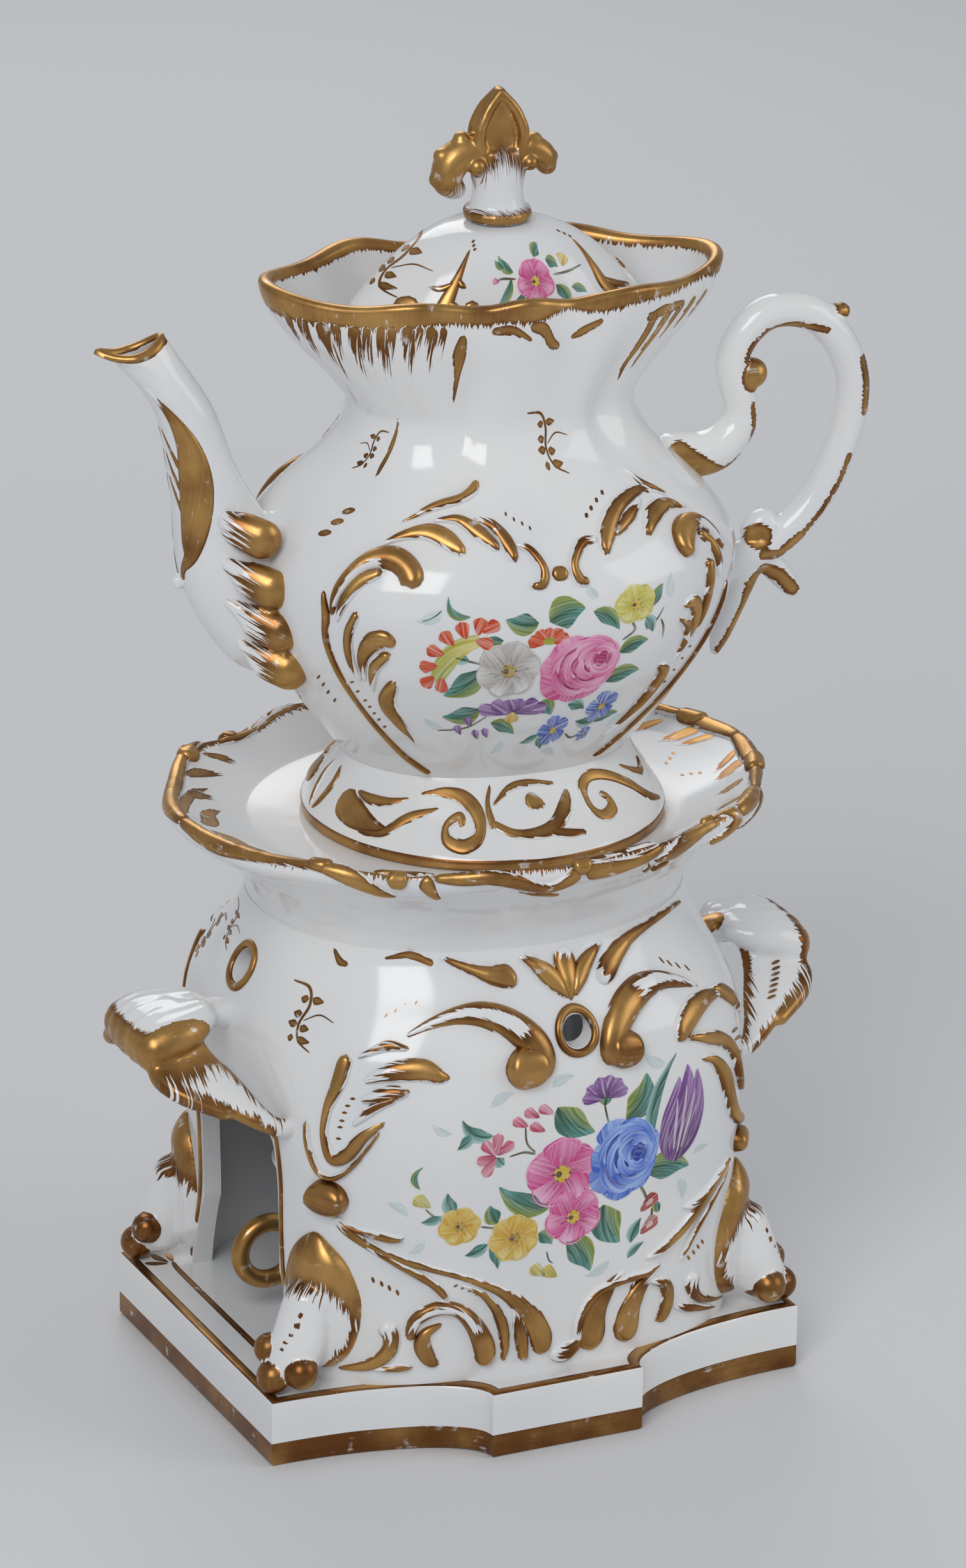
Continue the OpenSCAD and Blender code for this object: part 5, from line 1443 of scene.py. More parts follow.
pot_gilt[rim_count:rim_count + 3] = [[0.2], [-1.2], [-3.0]]
shape(
    "teapot_body", *loft(on_dish(rings)), "teapot", "teapot_body",
    gilt=np.clip(pot_gilt, -4, 4), brush=stacked(rings[..., 2], pot_turns * pot_mm_per_turn, 2.2),
)

# Painting and moulding of the teapot: a frame of gilt scrolls raised on each side of the belly,
# a spray of flowers in enamels within it, and gilt touches down from the mouth.
pot_line_z = 214.0
pot_angle = run_round(lambda angle: pot_wall(angle, np.full(angle.shape, pot_line_z)))[0]


def pot_at(s, h):
    return pot_wall(pot_angle(s), h)


pot_scrolls = [
    stroke(
        pot_at,
        [(-54.4, 212, 0.5), (-52.6, 219, 1.6), (-48.6, 224.6, 2.1), (-43, 226.6, 2.4), (-38, 225.4, 2.6),
         (-35, 222.6, 2.9), (-34.6, 220.6, 1.8)],
        0, 2.6, 0.9, white=(-0.9, -0.3, 0.1, 0.6),
    ),
    stroke(
        pot_at,
        [(56.6, 218.6, 0.5), (55.6, 223, 1.2), (52, 226.4, 1.8), (47, 226.8, 2.3), (42.4, 224.6, 2.9),
         (40.4, 221, 2.0)],
        0, 2.6, 0.9, white=(0.2, 0.9, 0.1, 0.5),
    ),
]
pot_scrolls += strands(pot_at, [
    [(-53, 210.4, 0.4), (-51, 216, 1.3), (-48, 221, 1.7), (-43, 223.6, 1.2)],
    [(-49, 195, 0.5), (-50.4, 201, 1.2), (-50, 208, 1.3), (-47.4, 214, 1.0)],
    [(-48, 195, 0.5), (-47, 202, 1.6), (-43.6, 206.8, 2.5), (-40.2, 207.6, 2.1), (-39, 205.6, 0.9)],
    [(-46.6, 192, 0.4), (-44.6, 199, 1.4), (-41.2, 203, 1.3), (-39.6, 203.6, 0.5)],
    [(-38.8, 175, 0.3), (-40, 178.6, 0.9), (-42, 184, 2.2), (-43.4, 188.4, 2.7), (-42, 192.4, 1.9),
     (-39.4, 195.8, 1.3)],
    [(-47, 228.4, 0.4), (-41, 231, 1.1), (-34, 232, 1.7), (-27.4, 230.4, 1.9), (-22.4, 228, 1.0)],
    [(-33.6, 234.2, 0.3), (-26, 234.4, 1.0), (-18.6, 231.8, 1.6), (-13, 228.6, 0.9)],
    [(-21, 234.8, 0.4), (-15, 233.2, 1.3), (-10.6, 229.6, 1.9), (-8.6, 226, 1.1)],
    [(-9, 229.8, 0.4), (-4.4, 228, 1.1), (-1.6, 224.4, 1.3), (-2.2, 221.4, 1.4), (-5, 220.8, 0.8)],
    [(-43, 233.4, 0.3), (-35, 236.6, 1.0), (-26, 238.4, 1.1), (-21.6, 240.4, 1.6), (-20, 241.6, 0.9)],
    [(16, 229, 0.6), (10.6, 228.4, 1.2), (6.8, 224.6, 1.3), (7.6, 221.2, 1.5), (10, 220.6, 0.9)],
    [(47, 234.6, 0.4), (40, 236, 1.0), (31, 235, 1.4), (24, 232.6, 1.9), (18.8, 229, 2.1),
     (16.4, 225.6, 1.0)],
    [(38, 234.6, 0.5), (29, 231.8, 1.4), (22, 229, 0.5)],
    [(53, 230, 0.5), (46, 232, 1.3), (38, 231, 1.8), (31.6, 227.8, 0.9)],
    [(40, 240.8, 0.3), (42, 237.4, 1.3), (49, 233.4, 0.5)],
    [(52.4, 213, 0.5), (52.4, 221, 1.4), (49.4, 224.6, 1.2)],
    [(44, 199, 0.3), (45.6, 203, 0.8), (47.6, 211, 1.3), (48.4, 218.8, 1.5)],
    [(41, 193, 0.3), (42.4, 199, 1.0), (43.6, 206, 1.7), (41.4, 210, 2.0), (38, 209.6, 0.9)],
    [(43, 198, 0.5), (41, 203.6, 1.3), (37.4, 206.4, 0.5)],
    [(31, 173.6, 0.3), (35, 179.6, 1.0), (38, 186, 1.9), (38.6, 191.6, 1.9), (35.4, 194.2, 0.8)],
], relief=1.3, ragged=1.2, dry=(7, 0), feather=(0.9, 0.1))
pot_scrolls += strands(pot_at, [
    [(-57, 217.6, 0.5), (-56, 212, 1.1), (-56.6, 205, 0.9), (-55.4, 197, 0.9), (-53, 188, 0.8),
     (-50, 179.6, 0.9),
     (-46, 171.6, 1.2), (-41, 167, 1.1), (-38.4, 166, 0.4)],
    [(59, 210, 0.4), (57, 203, 0.9), (54, 195, 1.0), (49, 184, 0.9), (44, 175.6, 0.9), (39, 169.4, 1.0),
     (35, 166.4, 0.4)],
], relief=0.8, ragged=0.8)
pot_scrolls.append(knob_on(pot_at, 2.8, 223, 2.2, 1.6, 0.8))
pot_touches = dash_rows(
    pot_at,
    ([(-10.5, 235.4), (-8, 234.3), (-5.5, 233.4), (-3.3, 232.4)], (0.5, -1), 1.0, 0.3),
    ([(16, 233.6), (18.7, 234.8), (22, 236.1), (25.6, 237.3)], (1, 0.5), 1.5, 0.45),
    ([(-52, 194), (-51.3, 191.3), (-50, 188.8), (-49.4, 186.9)], (1, 0.5), 1.6, 0.3),
    ([(-48.9, 184.9), (-48.3, 183), (-47.5, 180.8)], (1, 0.5), 1.6, 0.3),
    ([(-63, 193), (-62.4, 191), (-62, 188.8), (-61, 186.6)], (1, 0.8), 2.4, 0.3),
    ([(-61, 234), (-62.4, 231.6), (-64, 229)], (1, 0.2), 4.0, 0.7),
    ([(47, 196), (46, 193), (45, 190), (43.6, 187)], (1, -0.3), 1.8, 0.3),
)
pot_touches += strands(pot_at, [
    [(-57, 255, 0.4), (-58, 248, 0.9), (-59, 241.4, 0.7)],
    [(-27, 279, 1.2), (-29, 274, 2.4), (-31, 267.5, 1.2), (-33.4, 260, 0.3)],
    [(-16, 279.4, 1.0), (-8, 279, 1.3), (0, 276, 0.5)],
    [(-1, 279.4, 1.0), (5, 278.4, 1.9), (9, 275, 1.7), (13, 274, 0.8)],
    [(18, 276, 0.5), (23, 277.4, 1.3), (30, 279.4, 0.8)],
    [(50, 279, 1.6), (49.4, 273, 1.6), (48.4, 266, 1.0), (49.4, 261, 0.3)],
    [(47, 279, 0.6), (49, 278, 1.4), (54, 279, 1.6), (62, 279.6, 1.0)],
    [(57, 280.4, 1.6), (54.6, 275, 1.5), (52.6, 269, 0.9), (52, 264, 0.3)],
    [(62, 280.4, 1.4), (59.6, 276, 1.2), (57.4, 271, 0.3)],
    [(67, 280.4, 1.4), (65, 276.4, 1.1), (63, 272.4, 0.3)],
    [(72.6, 280.4, 1.3), (70.6, 277, 1.0), (69, 274, 0.3)],
], ragged=1.2, feather=(0.4, 0))
mouth_hairs = (
    (-36, 272, 1.4), (-39.6, 268, 2.2), (-43, 272.6, 1.3), (-46.6, 265.6, 2.6), (-51.4, 270.6, 1.5),
    (-55, 261.6, 2.4),
    (-59.4, 267, 1.8), (-63, 263.4, 2.6), (-68, 269, 1.5), (-71.6, 262.4, 2.3), (-77, 267, 1.7),
    (-81, 270, 1.2),
)
hair_top = 281
for s, h, half in mouth_hairs:
    rows = [(s + 2.4, hair_top, half), (s + 1.4, mix(hair_top, h, 0.4), half * 0.8), (s, h, 0.3)]
    pot_touches.append(stroke(pot_at, rows, ragged=1.7, dry=(0, hair_top - h), feather=(0.5, 0)))
pot_touches += sprig(pot_at, 9.6, 248.8, 0.95) + sprig(pot_at, -66, 246, 0.6, -1)


ORANGE = ((0.66, 0.07, 0.005), (0.70, 0.115, 0.012), (0.60, 0.05, 0.005))
FORGET = ((0.05, 0.09, 0.42), (0.22, 0.33, 0.70), (0.10, 0.16, 0.52))
POPPY_CUP = ((0.34, 0.40, 0.03), (0.78, 0.66, 0.16), (0.50, 0.50, 0.08))
WHITE_FLOWER = ((0.36, 0.31, 0.27), (0.81, 0.81, 0.80), (0.55, 0.51, 0.47))
LEMON = ((0.55, 0.50, 0.06), (0.82, 0.76, 0.34), (0.66, 0.60, 0.10))
FORGET_HEART, WHITE_HEART, ORANGE_HEART = (0.62, 0.45, 0.06), (0.45, 0.32, 0.05), (0.45, 0.42, 0.05)


def pot_bouquet(rose_tones, blue, orange):
    """The teapot's spray: a rose, a white flower, a poppy, a pansy, and small flowers round them."""
    ghosts = (
        (-27, 216, -33, 213, 1.6), (33, 213, 34, 219, 1.4), (28, 177, 33, 180, 1.4),
        (-10, 177, -14, 173, 1.4),
        (-29, 182, -34, 185, 1.4), (12, 217, 9, 220, 1.2), (6, 172, 12, 170, 1.2),
    )
    stems = (
        [(21.6, 209, 0.3), (22.6, 206.6, 0.35), (19.4, 204.4, 0.25)],
        [(-31, 181, 0.15), (-22, 182, 0.25), (-15.6, 185.6, 0.15)],
        [(-24, 203, 0.2), (-20, 202.4, 0.3), (-17.6, 201.6, 0.2)],
        [(12, 177.4, 0.2), (15, 175.6, 0.35), (18.4, 176.6, 0.2)],
        [(26, 206, 0.15), (29, 208, 0.25), (31, 211, 0.15)],
        [(30.4, 208, 0.15), (31.8, 205.6, 0.3), (32.4, 202.4, 0.15)],
    )
    leaves = (
        (-3.4, 212, -11.6, 213.4, 2.9, 0.1), (-0.6, 212, 8.4, 214.6, 4.2, 0.1),
        (10.6, 213.4, 18, 207.6, 2.1, 0.12),
        (27.6, 212, 30.6, 217, 1.5, 0.1), (25.6, 209.4, 28.4, 205, 1.7, 0.1),
        (19.4, 201, 27.6, 203, 2.3, 0.1),
        (17.6, 193, 28, 194.4, 2.5, 0.1), (-17.4, 200, -27.4, 192.4, 3.3, 0.1),
        (-20.4, 203, -24.6, 204.4, 1.6, 0.1),
        (-12, 208, -17.4, 208.6, 1.5, 0.1), (-17.6, 188, -28.6, 185.6, 2.8, 0.1),
        (-14.4, 183.4, -6.6, 179.2, 2.1, 0.1),
        (-0.6, 189, 4, 184.6, 2.4, 0.1), (8.4, 187.4, 14.4, 185.2, 1.8, 0.1),
        (21, 180.6, 13.6, 181.2, 1.8, 0.1),
        (21, 179.8, 29, 181.4, 1.5, 0.1), (2, 178.4, -3.8, 175.8, 1.2, 0.1), (2, 177, 4.8, 173, 1.5, 0.1),
        (-20, 214.4, -25.6, 219.2, 1.0, 0.3), (-25.4, 202.6, -22.6, 206.6, 1.2, 0.1),
    )
    made = greenery(pot_at, ghosts, stems, leaves, 2.0)
    cup = [(-29, 196.4, 1.6), (-26.6, 201.4, 2.4), (-23, 206, 2.4), (-17.4, 208.6, 1.5)]
    made.append(stroke(pot_at, cup, 0.13, colours=POPPY_CUP))
    poppy = (
        (-31, 196.6, 3.9), (-30.6, 201, 3.3), (-28.6, 205.2, 2.8), (-25.6, 208.8, 2.3), (-21.8, 211, 1.9),
        (-17.8, 212, 1.4), (-15, 211.6, 0.6), (-27.6, 195.6, 4.6), (-16.6, 207.6, -0.3),
    )
    for i, (s, h, turn) in enumerate(poppy):
        made.append(petal(pot_at, (s, h), turn, -2.4, 2.2, 1.7, 0.15 + 0.006 * i, orange, 1.0, 0.4))
    made += flower(pot_at, (-10.3, 199.4), 8.2, WHITE_FLOWER, 6, 0.25, 0.98, WHITE_HEART)
    for turn in (0.2, 0.9, 1.57, 2.25, 2.95):
        made.append(petal(pot_at, (-0.6, 206.6), turn, 0.6, 5.4, 1.7, 0.15 + 0.01 * turn, orange, 0.72, 0.4))
    made.append(knob_tint(pot_at, (-0.6, 207), 1.6, ORANGE_HEART, 0.22, 0.6))
    made += flower(pot_at, (22.2, 213.4), 5.8, LEMON, 5, 0.5, 0.8)
    made += rose(pot_at, (7.6, 197.6), 11.2, 10, (14.4, 200.4), *rose_tones)
    pansy = ((2.9, 10.5, 1.8), (2.5, 8, 1.9), (2.0, 6, 2.0), (1.2, 6, 2.0), (0.55, 8, 1.9), (0.15, 10, 1.8))
    for turn, far, half in pansy:
        made.append(petal(pot_at, (-8, 186.4), turn, 0.3, far, half, 0.17 + 0.01 * half, PURPLE, 0.75, 0.6))
    made.append(petal(pot_at, (-8.2, 185.4), 4.7, -1.4, 2.2, 2.2, 0.22, (YELLOW[1], YELLOW[0], YELLOW[2])))
    for centre, radius in (((6.6, 179.2), 5.0), ((20.4, 185), 5.0), ((19.4, 176.4), 2.4)):
        for i in range(5):
            made.append(petal(
                pot_at, centre, 0.6 + i * 1.257, 0.12 * radius, radius, 0.42 * radius, 0.16 + 0.006 * i,
                blue, 1.0, 0.6,
            ))
        made.append(knob_tint(pot_at, centre, 0.2 * radius, FORGET_HEART, 0.22))
    for place in ((-24.4, 181.4), (-21, 184), (-19, 179.8), (-16, 180.2)):
        made.append(petal(pot_at, place, 1.9, -1.7, 1.6, 1.2, 0.16, PURPLE))
    return made


paint_both("teapot_scrolls", pot_scrolls + pot_touches, "teapot", "teapot_body", on_dish)
front_spray, back_spray = pot_bouquet(RED_ROSE, FORGET, ORANGE), pot_bouquet(BLUE, PURPLE, PINK)
paint("teapot_flowers_front", front_spray, "teapot", "teapot_body", ENAMEL, on_dish)
paint("teapot_flowers_back", back_spray, "teapot", "teapot_body", ENAMEL, on_dish, BACK)

# Teapot spout: a swan-necked spout cast in two halves and luted over the hole in the belly.
# Its lip is drawn out to a beak, and gilded leaves are pencilled up its front and round its root.
spout_rows = [
    (-13, -33, -7, 14, 15), (-4, -27.5, -4.2, 14.6, 14.2), (5.7, -21.3, -2.3, 17.2, 12.2),
    (16.3, -2.4, 0.3, 21.4, 9.9),
    (19.3, 22, 4.1, 29.6, 7.9), (23.1, 41.4, 8.9, 42.4, 6.8), (32.1, 54, 17.3, 55.6, 5.8),
    (38.3, 57.8, 20.7, 60.6, 5),
]
spout_path, spout_run = smooth_path(spout_rows, 1.0, 4)
spout_sides, spout_wall_t = 48, 2.4
beak_from, beak_room, beak_pinch, beak_dip = 46, 11, 0.45, 2.4
spout_mm_per_turn = 9


def spout_rings(inset, path):
    """Rings of the spout from rows of its lower and upper edge and its half width."""
    angle = full_turn(spout_sides)
    rings = []
    for row in path:
        under, upper, half_width = row[0:2], row[2:4], row[4]
        middle, half = (under + upper) / 2, (under - upper) / 2
        edge = middle + np.outer(np.cos(angle), half * (1 - inset / np.linalg.norm(half)))
        drawn = np.clip((row[1] - beak_from) / beak_room, 0, 1)
        pinch = 1 - beak_pinch * drawn * np.clip(np.cos(angle), 0, 1) ** 0.8
        dip = beak_dip * drawn ** 2 * np.sin(angle) ** 2
        side = (half_width * pinch - inset * pinch ** 0.5) * np.sin(angle)
        rings.append(stacked(-belly[0] / 2 - edge[:, 0], side, waist_z + belly_h + edge[:, 1] - dip))
    return np.array(rings)


spout_end = spout_path[-1:]
lip_rolls = ((0.3, 0.8), (1.2, 1.2), (2.1, 0.8))
rolled_lip = [spout_rings(inset, spout_end) + [0, 0, rise] for inset, rise in lip_rolls]
inner_rings = spout_rings(spout_wall_t, spout_path[::-1])
rings = np.concatenate([spout_rings(0, spout_path), *rolled_lip, inner_rings])
lip_gold = 2.0
from_lip = spout_run - spout_run[-1]
spout_gilt = np.concatenate([from_lip - 0.6, np.zeros(len(lip_rolls)), from_lip[::-1] - 1.2]) + lip_gold
points, faces = loft(on_dish(rings), closed=True)
shape(
    "teapot_spout", points, faces, "teapot", "teapot_spout", sharp=60,
    gilt=np.repeat(np.clip(spout_gilt, -3, 3), spout_sides), brush=stacked(points[:, 0], points[:, 1], 0.8),
)


def spout_at(s, h):
    """Outer skin of the spout, from the height of its front edge and a distance round from that edge."""
    row = [np.interp(s, spout_path[:, 1], spout_path[:, k]) for k in range(5)]
    angle = h / spout_mm_per_turn
    share = (1 + np.cos(angle)) / 2
    reach, rise = mix(row[2], row[0], share), mix(row[3], row[1], share)
    return stacked(-belly[0] / 2 - reach, row[4] * np.sin(angle), waist_z + belly_h + rise)


spout_leaf = strands(spout_at, [
    [(49, -5, 0.4), (42, -8, 2.0), (34, -10.2, 3.6), (26, -10.4, 4.8), (17, -9.4, 5.0), (9, -8, 4.2),
     (4.6, -6.4, 2.8),
     (2, -3.2, 1.2), (-1, -1.6, 1.0)],
], lift=0.0, relief=0.7, ragged=0.9, dry=(8, 0))
spout_leaf += strands(spout_at, [
    [(38, -1.5, 0.2), (33, -4, 0.5), (28, -6.6, 0.8)], [(32, -1.4, 0.2), (27, -3.6, 0.5), (22, -6, 0.8)],
    [(26, -1.2, 0.2), (21, -3.4, 0.5), (16, -5.6, 0.8)],
], ragged=0.8)
white_pea = [(-3.4, -0.6, 1.2), (-1.6, 0, 1.7), (0.4, 0, 1.3)]
spout_pea = stroke(spout_at, white_pea, 0, 2.2, 0.2, white=(-2, 2, -1, 2))
paint("spout_leaf_front", spout_leaf + [spout_pea], "teapot", "teapot_spout", place=on_dish)
paint("spout_leaf_back", spout_leaf, "teapot", "teapot_spout", place=on_dish, flip=BACK)
shell_z = [226.5, 214.5, 203.5, 193.0]
shell_x = [-62.5, -60.5, -58.5, -56.0]
shell_y = [-11.4, -14.2, -14.6, -13.4]
shells = []
for x, y, z, tail in zip(shell_x, shell_y, shell_z, (7.5, 9, 10, 9)):
    shells += roll([
        (x - tail, y + 4.6, z + tail * 0.6, 1.6, 1.2, 1.4), (x - 6, y + 2.2, z + 3.4, 3, 1.8, 2.8),
        (x - 3, y + 0.4, z + 1.4, 4.8, 2.6, 4.6), (x + 1.2, y - 2.2, z - 0.4, 4.8, 3.2, 5.0),
    ])
points, faces = fuse(shells, 0.6, 3)
nearest = np.argmin(np.abs(points[:, 2:] - shell_z), axis=1)
x, y, z = points.T
white_tail = 6.4
shell_gilt = np.clip((x - np.array(shell_x)[nearest] + white_tail) * 0.22, -3, 2)
shell_brush = stacked(x - z * 0.5, z + x * 0.6, 2.2)
for name, flip in (("spout_shells_front", FRONT), ("spout_shells_back", BACK)):
    shape(name, on_dish(points * flip), faces, "teapot", "teapot_spout", gilt=shell_gilt, brush=shell_brush)

# Teapot handle: an ear of rolled paste, bent over a former while soft and luted to neck and belly.
# Curls, a pea and two small leaves are pressed on where it turns, and it is lined in gold.


def ear(rows):
    """Rolled paste in the handle's plane, from rows of reach and height off the belly, and radius."""
    return roll([(belly[0] / 2 + reach, 0, waist_z + belly_h + h, r, r, r) for reach, h, r in rows], 1.0)


handle_forms = ear([
    (-14, 19.5, 5.6), (-6, 19, 5.8), (-0.6, 21.2, 5.2), (3.9, 28.6, 4.4), (1.1, 43, 4.2), (9.4, 53.6, 4.4),
    (22.9, 51.8, 4.4), (32.1, 38.4, 4.3), (31.9, 23, 4.2), (24.3, 5.2, 4.3), (12.1, -6.4, 4.6), (-6, -13, 5),
])
for curl in (
    [(3, 38, 3.2), (6.4, 38.6, 3.9)],
    [(12.7, -7, 4), (10.7, -0.6, 3.8), (7.3, -2.4, 2.8)],
    [(11.7, -10.4, 3.4), (16.1, -15.4, 3.1), (18.7, -18.4, 2.5)],
    [(5.7, -12, 4.4), (2.8, -20, 3.8), (0.2, -28, 2.8), (-1.2, -33, 1.4)],
    [(26.6, 51.6, 3), (29.4, 52.6, 2.2)],
):
    handle_forms += ear(curl)
points, faces = fuse(handle_forms, 0.6)
ear_place = np.column_stack([points[:, 0] - belly[0] / 2, points[:, 2] - waist_z - belly_h])
# Half width of each gold line, and its places on the handle
handle_lines = (
    (1.1, [(3.8, 43), (5.4, 47), (9.4, 50.2), (16, 51.2), (24, 49.4)]), (4.2, [(6.4, 38.6), (6.5, 38.7)]),
    (0.8, [(5.5, 31.4), (6.1, 25.4), (5.5, 20.2), (3.5, 16.2)]),
    (3.0, [(-13.6, 21), (-7.6, 16.6), (-1.7, 13), (4.8, 17)]),
    (1.3, [(34.3, 40.6), (35.4, 34.7), (35.2, 27.4)]),
    (0.9, [(31.3, 16.2), (29, 9.7), (24.4, 2.4), (19.2, -3.5)]),
    (1.5, [(19.2, -3.5), (14, -7.5), (9.4, -7.5)]),
    (3.4, [(8.2, -3), (8.4, -3)]), (1.9, [(18, -18), (14.4, -14), (10.1, -11.8), (6.4, -15.3)]),
    (1.8, [(6.4, -15.3), (5.4, -20.6), (2.4, -27.8), (0, -32.4)]), (1.6, [(28.6, 54), (30, 53)]),
)
handle_gilt = np.max([half - line_distance(ear_place, line) for half, line in handle_lines], axis=0)
shape(
    "teapot_handle", on_dish(points), faces, "teapot", "teapot_handle", gilt=np.clip(handle_gilt, -3, 2),
    brush=stacked(ear_place.sum(axis=1), points[:, 1] + ear_place[:, 1], 0.9),
)

# Lid: a low oval dome with soft ribs that lies loose on the gallery inside the mouth.
# A flange under it keeps it in place, and it is painted with a small flower between gilt branches.
lid_gap, lid_shift, lid_t = 2.2, 1.0, 3.2
collar_r, lid_dome_h, lid_flange_h = 8.5, 28.0, 6.0
lid_z = low("lid_dome")[2] + lid_flange_h
finial_z = lid_z + lid_dome_h
lid_edge = seat_half - lid_gap
lid_ribs, lid_rib = 8, 0.012
lid_sides = 240
lid_turn = full_turn(lid_sides)


def dome(angle, share, inset=0.0):
    """Point of the dome from its collar, at share 0, to its edge, at share 1."""
    spread = np.clip(share, 0, 1) ** 0.53
    half = [mix(collar_r, lid_edge[k], spread) - inset for k in (0, 1)]
    x, y = oval(half[0], half[1], angle)
    rib = 1 + lid_rib * np.sin(np.pi * np.clip(share, 0, 1)) * np.cos(lid_ribs * angle)
    return stacked(x * rib + lid_shift, y * rib, finial_z - lid_dome_h * share - inset)


def flange(inset, z):
    return level_oval(seat_half - (gallery_w + lid_gap + inset), z, lid_sides) + [lid_shift, 0, 0]


lid_round = 0.4
under = [dome(lid_turn, share, lid_t) for share in np.linspace(0.03, 0.7, 24)]
over = [dome(lid_turn, share) for share in np.linspace(1, 0, 48)]
rings = np.array(
    under + [flange(lid_t, lid_z), flange(lid_t, lid_z - lid_flange_h), flange(0, lid_z - lid_flange_h)]
    + [flange(0, lid_z)] + [dome(lid_turn, 1.0, lid_round) + [0, 0, lid_round]] + over
)
shape("lid_dome", *loft(on_dish(rings)), "lid", "lid_dome")
lid_turn_mm, lid_rise_mm = 0.36, 30


def lid_at(s, h):
    """Upper face of the lid, round it from the middle of the front and up from its edge."""
    return dome(np.radians(s / lid_turn_mm - 90), 1 - h / lid_rise_mm)


def on_lid(rows):
    """Rows whose first value is a turn in degrees."""
    return [(turn * lid_turn_mm, *rest) for turn, *rest in rows]


branches = [
    [(-43, 26.4, 0.3), (-45, 21, 0.9), (-48, 15, 1.5), (-50, 9, 1.9), (-51, 4, 1.4)],
    [(-46, 19, 0.4), (-53, 17.4, 0.8), (-60, 17.6, 0.3)],
    [(-45.6, 20, 0.4), (-42, 18.4, 0.7), (-39, 17.6, 0.3)],
    [(-48, 14, 0.4), (-56, 12, 1.0), (-62, 11.4, 0.4)],
    [(-48, 14.4, 0.4), (-44, 13.6, 0.8), (-41, 13.2, 0.3)],
    [(-50, 9, 0.6), (-60, 6, 1.2), (-70, 3, 0.6)], [(-72, 12.6, 1.0), (-67, 13.4, 1.7), (-62, 12, 0.7)],
    [(-37.6, 12.6, 1.0), (-34, 13.2, 1.6), (-30, 12, 0.7)],
    [(65, 26, 0.3), (62.6, 20, 0.9), (62, 15, 1.4), (66, 11.4, 1.5), (76, 8.6, 1.2), (100, 3, 0.5)],
    [(63, 16, 0.5), (69, 13.8, 1.0), (78, 12, 0.4)], [(57, 10, 0.8), (60.4, 10.6, 1.6), (64, 9, 0.8)],
    [(62, 12, 0.6), (60, 7, 1.2), (59, 3, 0.8)], [(86, 16.6, 0.5), (88.4, 15.4, 1.0), (91, 14, 0.4)],
]
lid_gold = [stroke(lid_at, on_lid(rows), 0.0, 0.5, 0.7) for rows in branches]
for turn in (-42, 63):
    places = on_lid([(turn + 3 - 2 * i, 26.4 + 0.8 * i) for i in range(3)])
    lid_gold += dashes(lid_at, places, (1, 0.2), 1.0, 0.34)
lid_sprig = sprig(lid_at, -88 * lid_turn_mm, 20, 0.8)
paint("lid_branches_front", lid_gold + lid_sprig, "lid", "lid_dome", place=on_dish)
paint("lid_branches_back", lid_gold, "lid", "lid_dome", place=on_dish, flip=BACK)


def lid_spray(petals):
    """The lid's small spray: one open flower with leaves, two stems and two buds."""
    made = []
    for start, end, half in (
        ((-4, 21), (-17, 25), 1.3), ((2, 16), (-3, 11.6), 1.6), ((-6, 19.6), (-20, 12), 1.1),
        ((18, 24), (27, 27), 1.6), ((28, 23), (36, 21), 1.6), ((30, 17), (35, 12), 1.5),
        ((40, 16), (48, 14), 1.2), ((-12, 22), (-20, 24), 0.8),
    ):
        made += leaf(lid_at, *on_lid([start, end]), half)
    for rows in (
        [(30, 19.4, 0.2), (40, 19.6, 0.3), (54, 20.4, 0.15)],
        [(-2, 19.4, 0.2), (-12, 19.6, 0.3), (-18, 19.2, 0.15)],
    ):
        made.append(stroke(lid_at, on_lid(rows), STEM_LIFT, colours=STEM))
    made.append(petal(lid_at, (-18 * lid_turn_mm, 19), 3.0, -0.8, 1.2, 0.8, 0.14, petals))
    made.append(petal(lid_at, (42 * lid_turn_mm, 22.4), 1.0, -1.6, 1.8, 1.4, 0.14, YELLOW))
    return made + flower(lid_at, (14 * lid_turn_mm, 18.4), 5.4, petals, 5, 0.9)


paint("lid_flower_front", lid_spray(PINK), "lid", "lid_dome", ENAMEL, on_dish)
paint("lid_flower_back", lid_spray(FORGET), "lid", "lid_dome", ENAMEL, on_dish, BACK)

# Knob: a gilt fleuron on a collar, pressed in a two-part mould and luted to the top of the lid.
# Its stem is left white and brushed up with gold, and its leaves are burnished.


def knob(rows, step=0.8):
    return roll([(x + lid_shift, y, finial_z + z, rx, ry, rz) for x, y, z, rx, ry, rz in rows], step)


knob_forms = knob([(0, 0, 0.8, 8.2, 8.2, 0.9), (0, 0, 2, 8.5, 8.5, 1.4), (0, 0, 3.2, 8.1, 8.1, 0.9)], 0.5)
knob_forms += knob([
    (0, 0, 3, 7, 6.6, 2), (0, 0, 8, 6.4, 5.4, 2), (0, 0, 13, 7.2, 5.2, 2), (0, 0, 17, 7, 4.6, 2),
])
knob_forms += knob([
    (0, 0, 16, 5.5, 3.6, 2), (0, 0, 22, 5.6, 2.6, 2), (0, 0, 28, 3.8, 2.2, 2), (0, 0, 31.5, 1.8, 1.6, 1.6),
])
knob_forms += knob([
    (-3, 0, 15.4, 4.4, 3.6, 4.4), (-7.4, 0, 17.8, 4.0, 3.8, 3.8), (-11.6, 0, 15.2, 4.3, 4.4, 4.4),
    (-13.0, 0, 11.0, 3.7, 4.2, 3.7), (-11.2, 0, 8.6, 3, 3.6, 2.6),
])
knob_forms += knob([
    (3, 0, 15.4, 4.4, 3.6, 4.4), (7.4, 0, 17.2, 3.7, 3.6, 3.6), (11, 0, 15.4, 3.4, 3.6, 3.4),
    (12.2, 0, 12.8, 2.5, 3.2, 2.4),
])
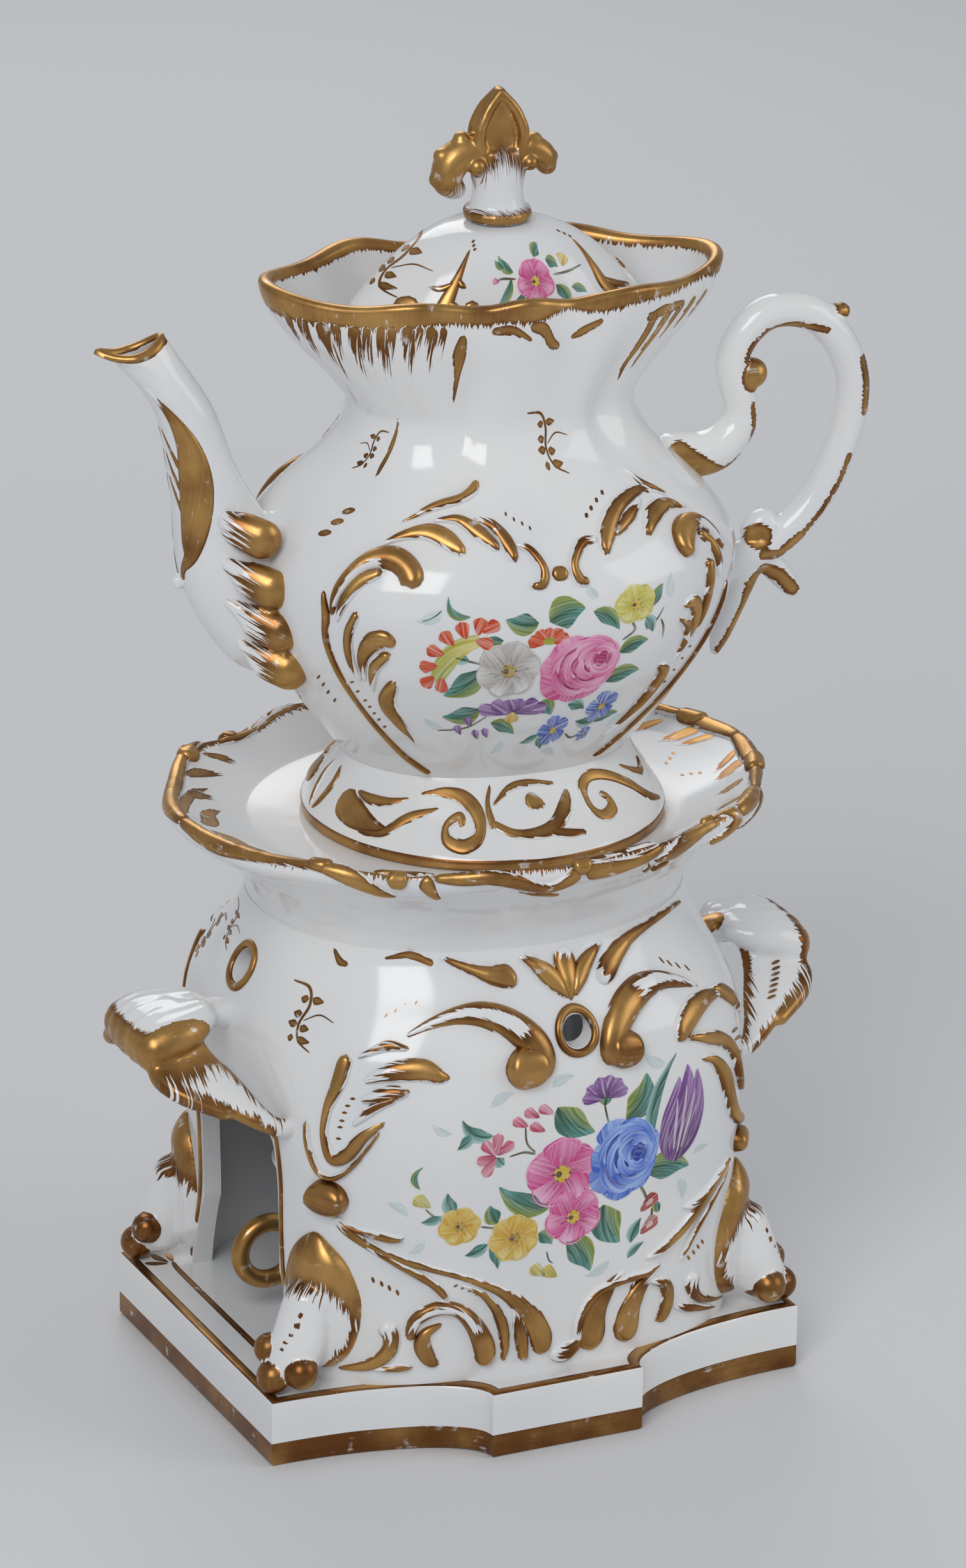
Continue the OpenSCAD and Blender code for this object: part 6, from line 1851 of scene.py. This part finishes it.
for x, y, z, r in (
    (-9.4, 0, 20.6, 2.2), (-14.2, 0, 16.8, 2.2), (-15.2, 0, 11.2, 2.2), (9.0, 0, 19.2, 2.1),
    (13.4, 0, 14.8, 1.8),
    (-6.4, -3.4, 14.6, 2.3), (-6.4, 3.4, 14.6, 2.3), (7.0, -3.2, 14.6, 2.0), (7.0, 3.2, 14.6, 2.0),
):
    knob_forms.append(ball((x + lid_shift, y, finial_z + z), np.full(3, r)))
for side in (-1, 1):
    for face in (-1, 1):
        knob_forms += knob([
            (side * 4.6, face * 2.4, 17, 1.3, 1.3, 1.3), (side * 5.6, face * 2.6, 22, 1.4, 1.4, 1.4),
            (side * 3.6, face * 2.2, 27.6, 1.3, 1.3, 1.3), (0, face * 1.2, 32, 1.2, 1.2, 1.2),
        ])
points, faces = fuse(knob_forms, 0.45, 4)
knob_h = points[:, 2] - finial_z
collar_mid, collar_top, leaves_from = 2, 6, 15.5
collar_gilt = 1.6 - np.abs(knob_h - collar_mid)
leaves_gilt = (knob_h - leaves_from + 0.75 * np.abs(points[:, 0] - lid_shift)) * 0.22
shape(
    "lid_finial", on_dish(points), faces, "lid", "lid_finial", slot="gilding",
    gilt=np.clip(np.where(knob_h < collar_top, collar_gilt, leaves_gilt), -3, 3),
    brush=stacked(knob_h, 3 * points[:, 0] + 2 * points[:, 1], 2.0),
)

# Studio: a pale floor, a soft sky and three soft lamps, seen through a long lens from the front corner
# on the door's side. None of it belongs to the object.
floor_half = 8
floor_mesh = bpy.data.meshes.new("floor")
floor_mesh.from_pydata(
    [(x * floor_half, y * floor_half, 0) for x, y in ((-1, -1), (1, -1), (1, 1), (-1, 1))], [],
    [(0, 1, 2, 3)],
)
floor = placed("floor", floor_mesh)
paper, wire, shader = new_finish("pale_paper")
feed(
    shader, roughness=0.9,
    base_color=wire.node("TexCoord", output="Object").cloud(3.0).between(
        (0.70, 0.71, 0.73, 1), (0.74, 0.75, 0.76, 1)
    ),
)
floor_mesh.materials.append(paper)
sky = bpy.data.worlds.new("soft_sky")
sky.use_nodes = True
feed(sky.node_tree.nodes["Background"], color=(0.86, 0.88, 0.92, 1), strength=0.42)
bpy.context.scene.world = sky


def standing(place, right, up, back):
    """Where a lamp or camera stands and how it is turned."""
    return Matrix.Translation(place) @ Matrix((right, up, back)).transposed().to_4x4()


def lamp(name, place, target, size, power):
    light = bpy.data.lights.new(name, "AREA")
    light.size = size
    light.energy = power
    back = np.array(place) - target
    back = back / np.linalg.norm(back)
    right = np.cross([0, 0, 1], back)
    right = right / np.linalg.norm(right)
    placed(name, light).matrix_world = standing(place, right, np.cross(back, right), back)


lamp("key_lamp", (-0.95, -1.05, 1.25), (0, 0, 0.17), 0.8, 11)
lamp("fill_lamp", (1.2, -0.9, 0.8), (0, 0, 0.17), 0.9, 4)
lamp("back_lamp", (0.3, 1.3, 1.1), (0, 0, 0.2), 0.8, 5)

photo_wide, photo_high = 1512, 2455
view_turn, view_rise, view_roll = np.radians(-25.446), np.radians(20.871), np.radians(1.0)
view_far, view_aim_z = 1.9106, 0.165
focal_px, sensor_mm = 12128, 36
aim_px = (729.8, 1148.4)
back = np.array([
    np.sin(view_turn) * np.cos(view_rise), -np.cos(view_turn) * np.cos(view_rise), np.sin(view_rise),
])
right = np.array([np.cos(view_turn), np.sin(view_turn), 0])
up = np.cross(back, right)
tilted_right = np.cos(view_roll) * right + np.sin(view_roll) * up
tilted_up = np.cos(view_roll) * up - np.sin(view_roll) * right
camera_data = bpy.data.cameras.new("camera")
camera_data.sensor_fit = "VERTICAL"
camera_data.sensor_height = sensor_mm
camera_data.lens = focal_px / photo_high * sensor_mm
camera_data.shift_x = (photo_wide / 2 - aim_px[0]) / photo_high
camera_data.shift_y = (aim_px[1] - photo_high / 2) / photo_high
camera_data.clip_end = 50
camera = placed("camera", camera_data)
eye = np.array([0, 0, view_aim_z]) + back * view_far
camera.matrix_world = standing(eye, tilted_right, tilted_up, back)
bpy.context.scene.camera = camera
bpy.context.scene.view_settings.view_transform = "Standard"
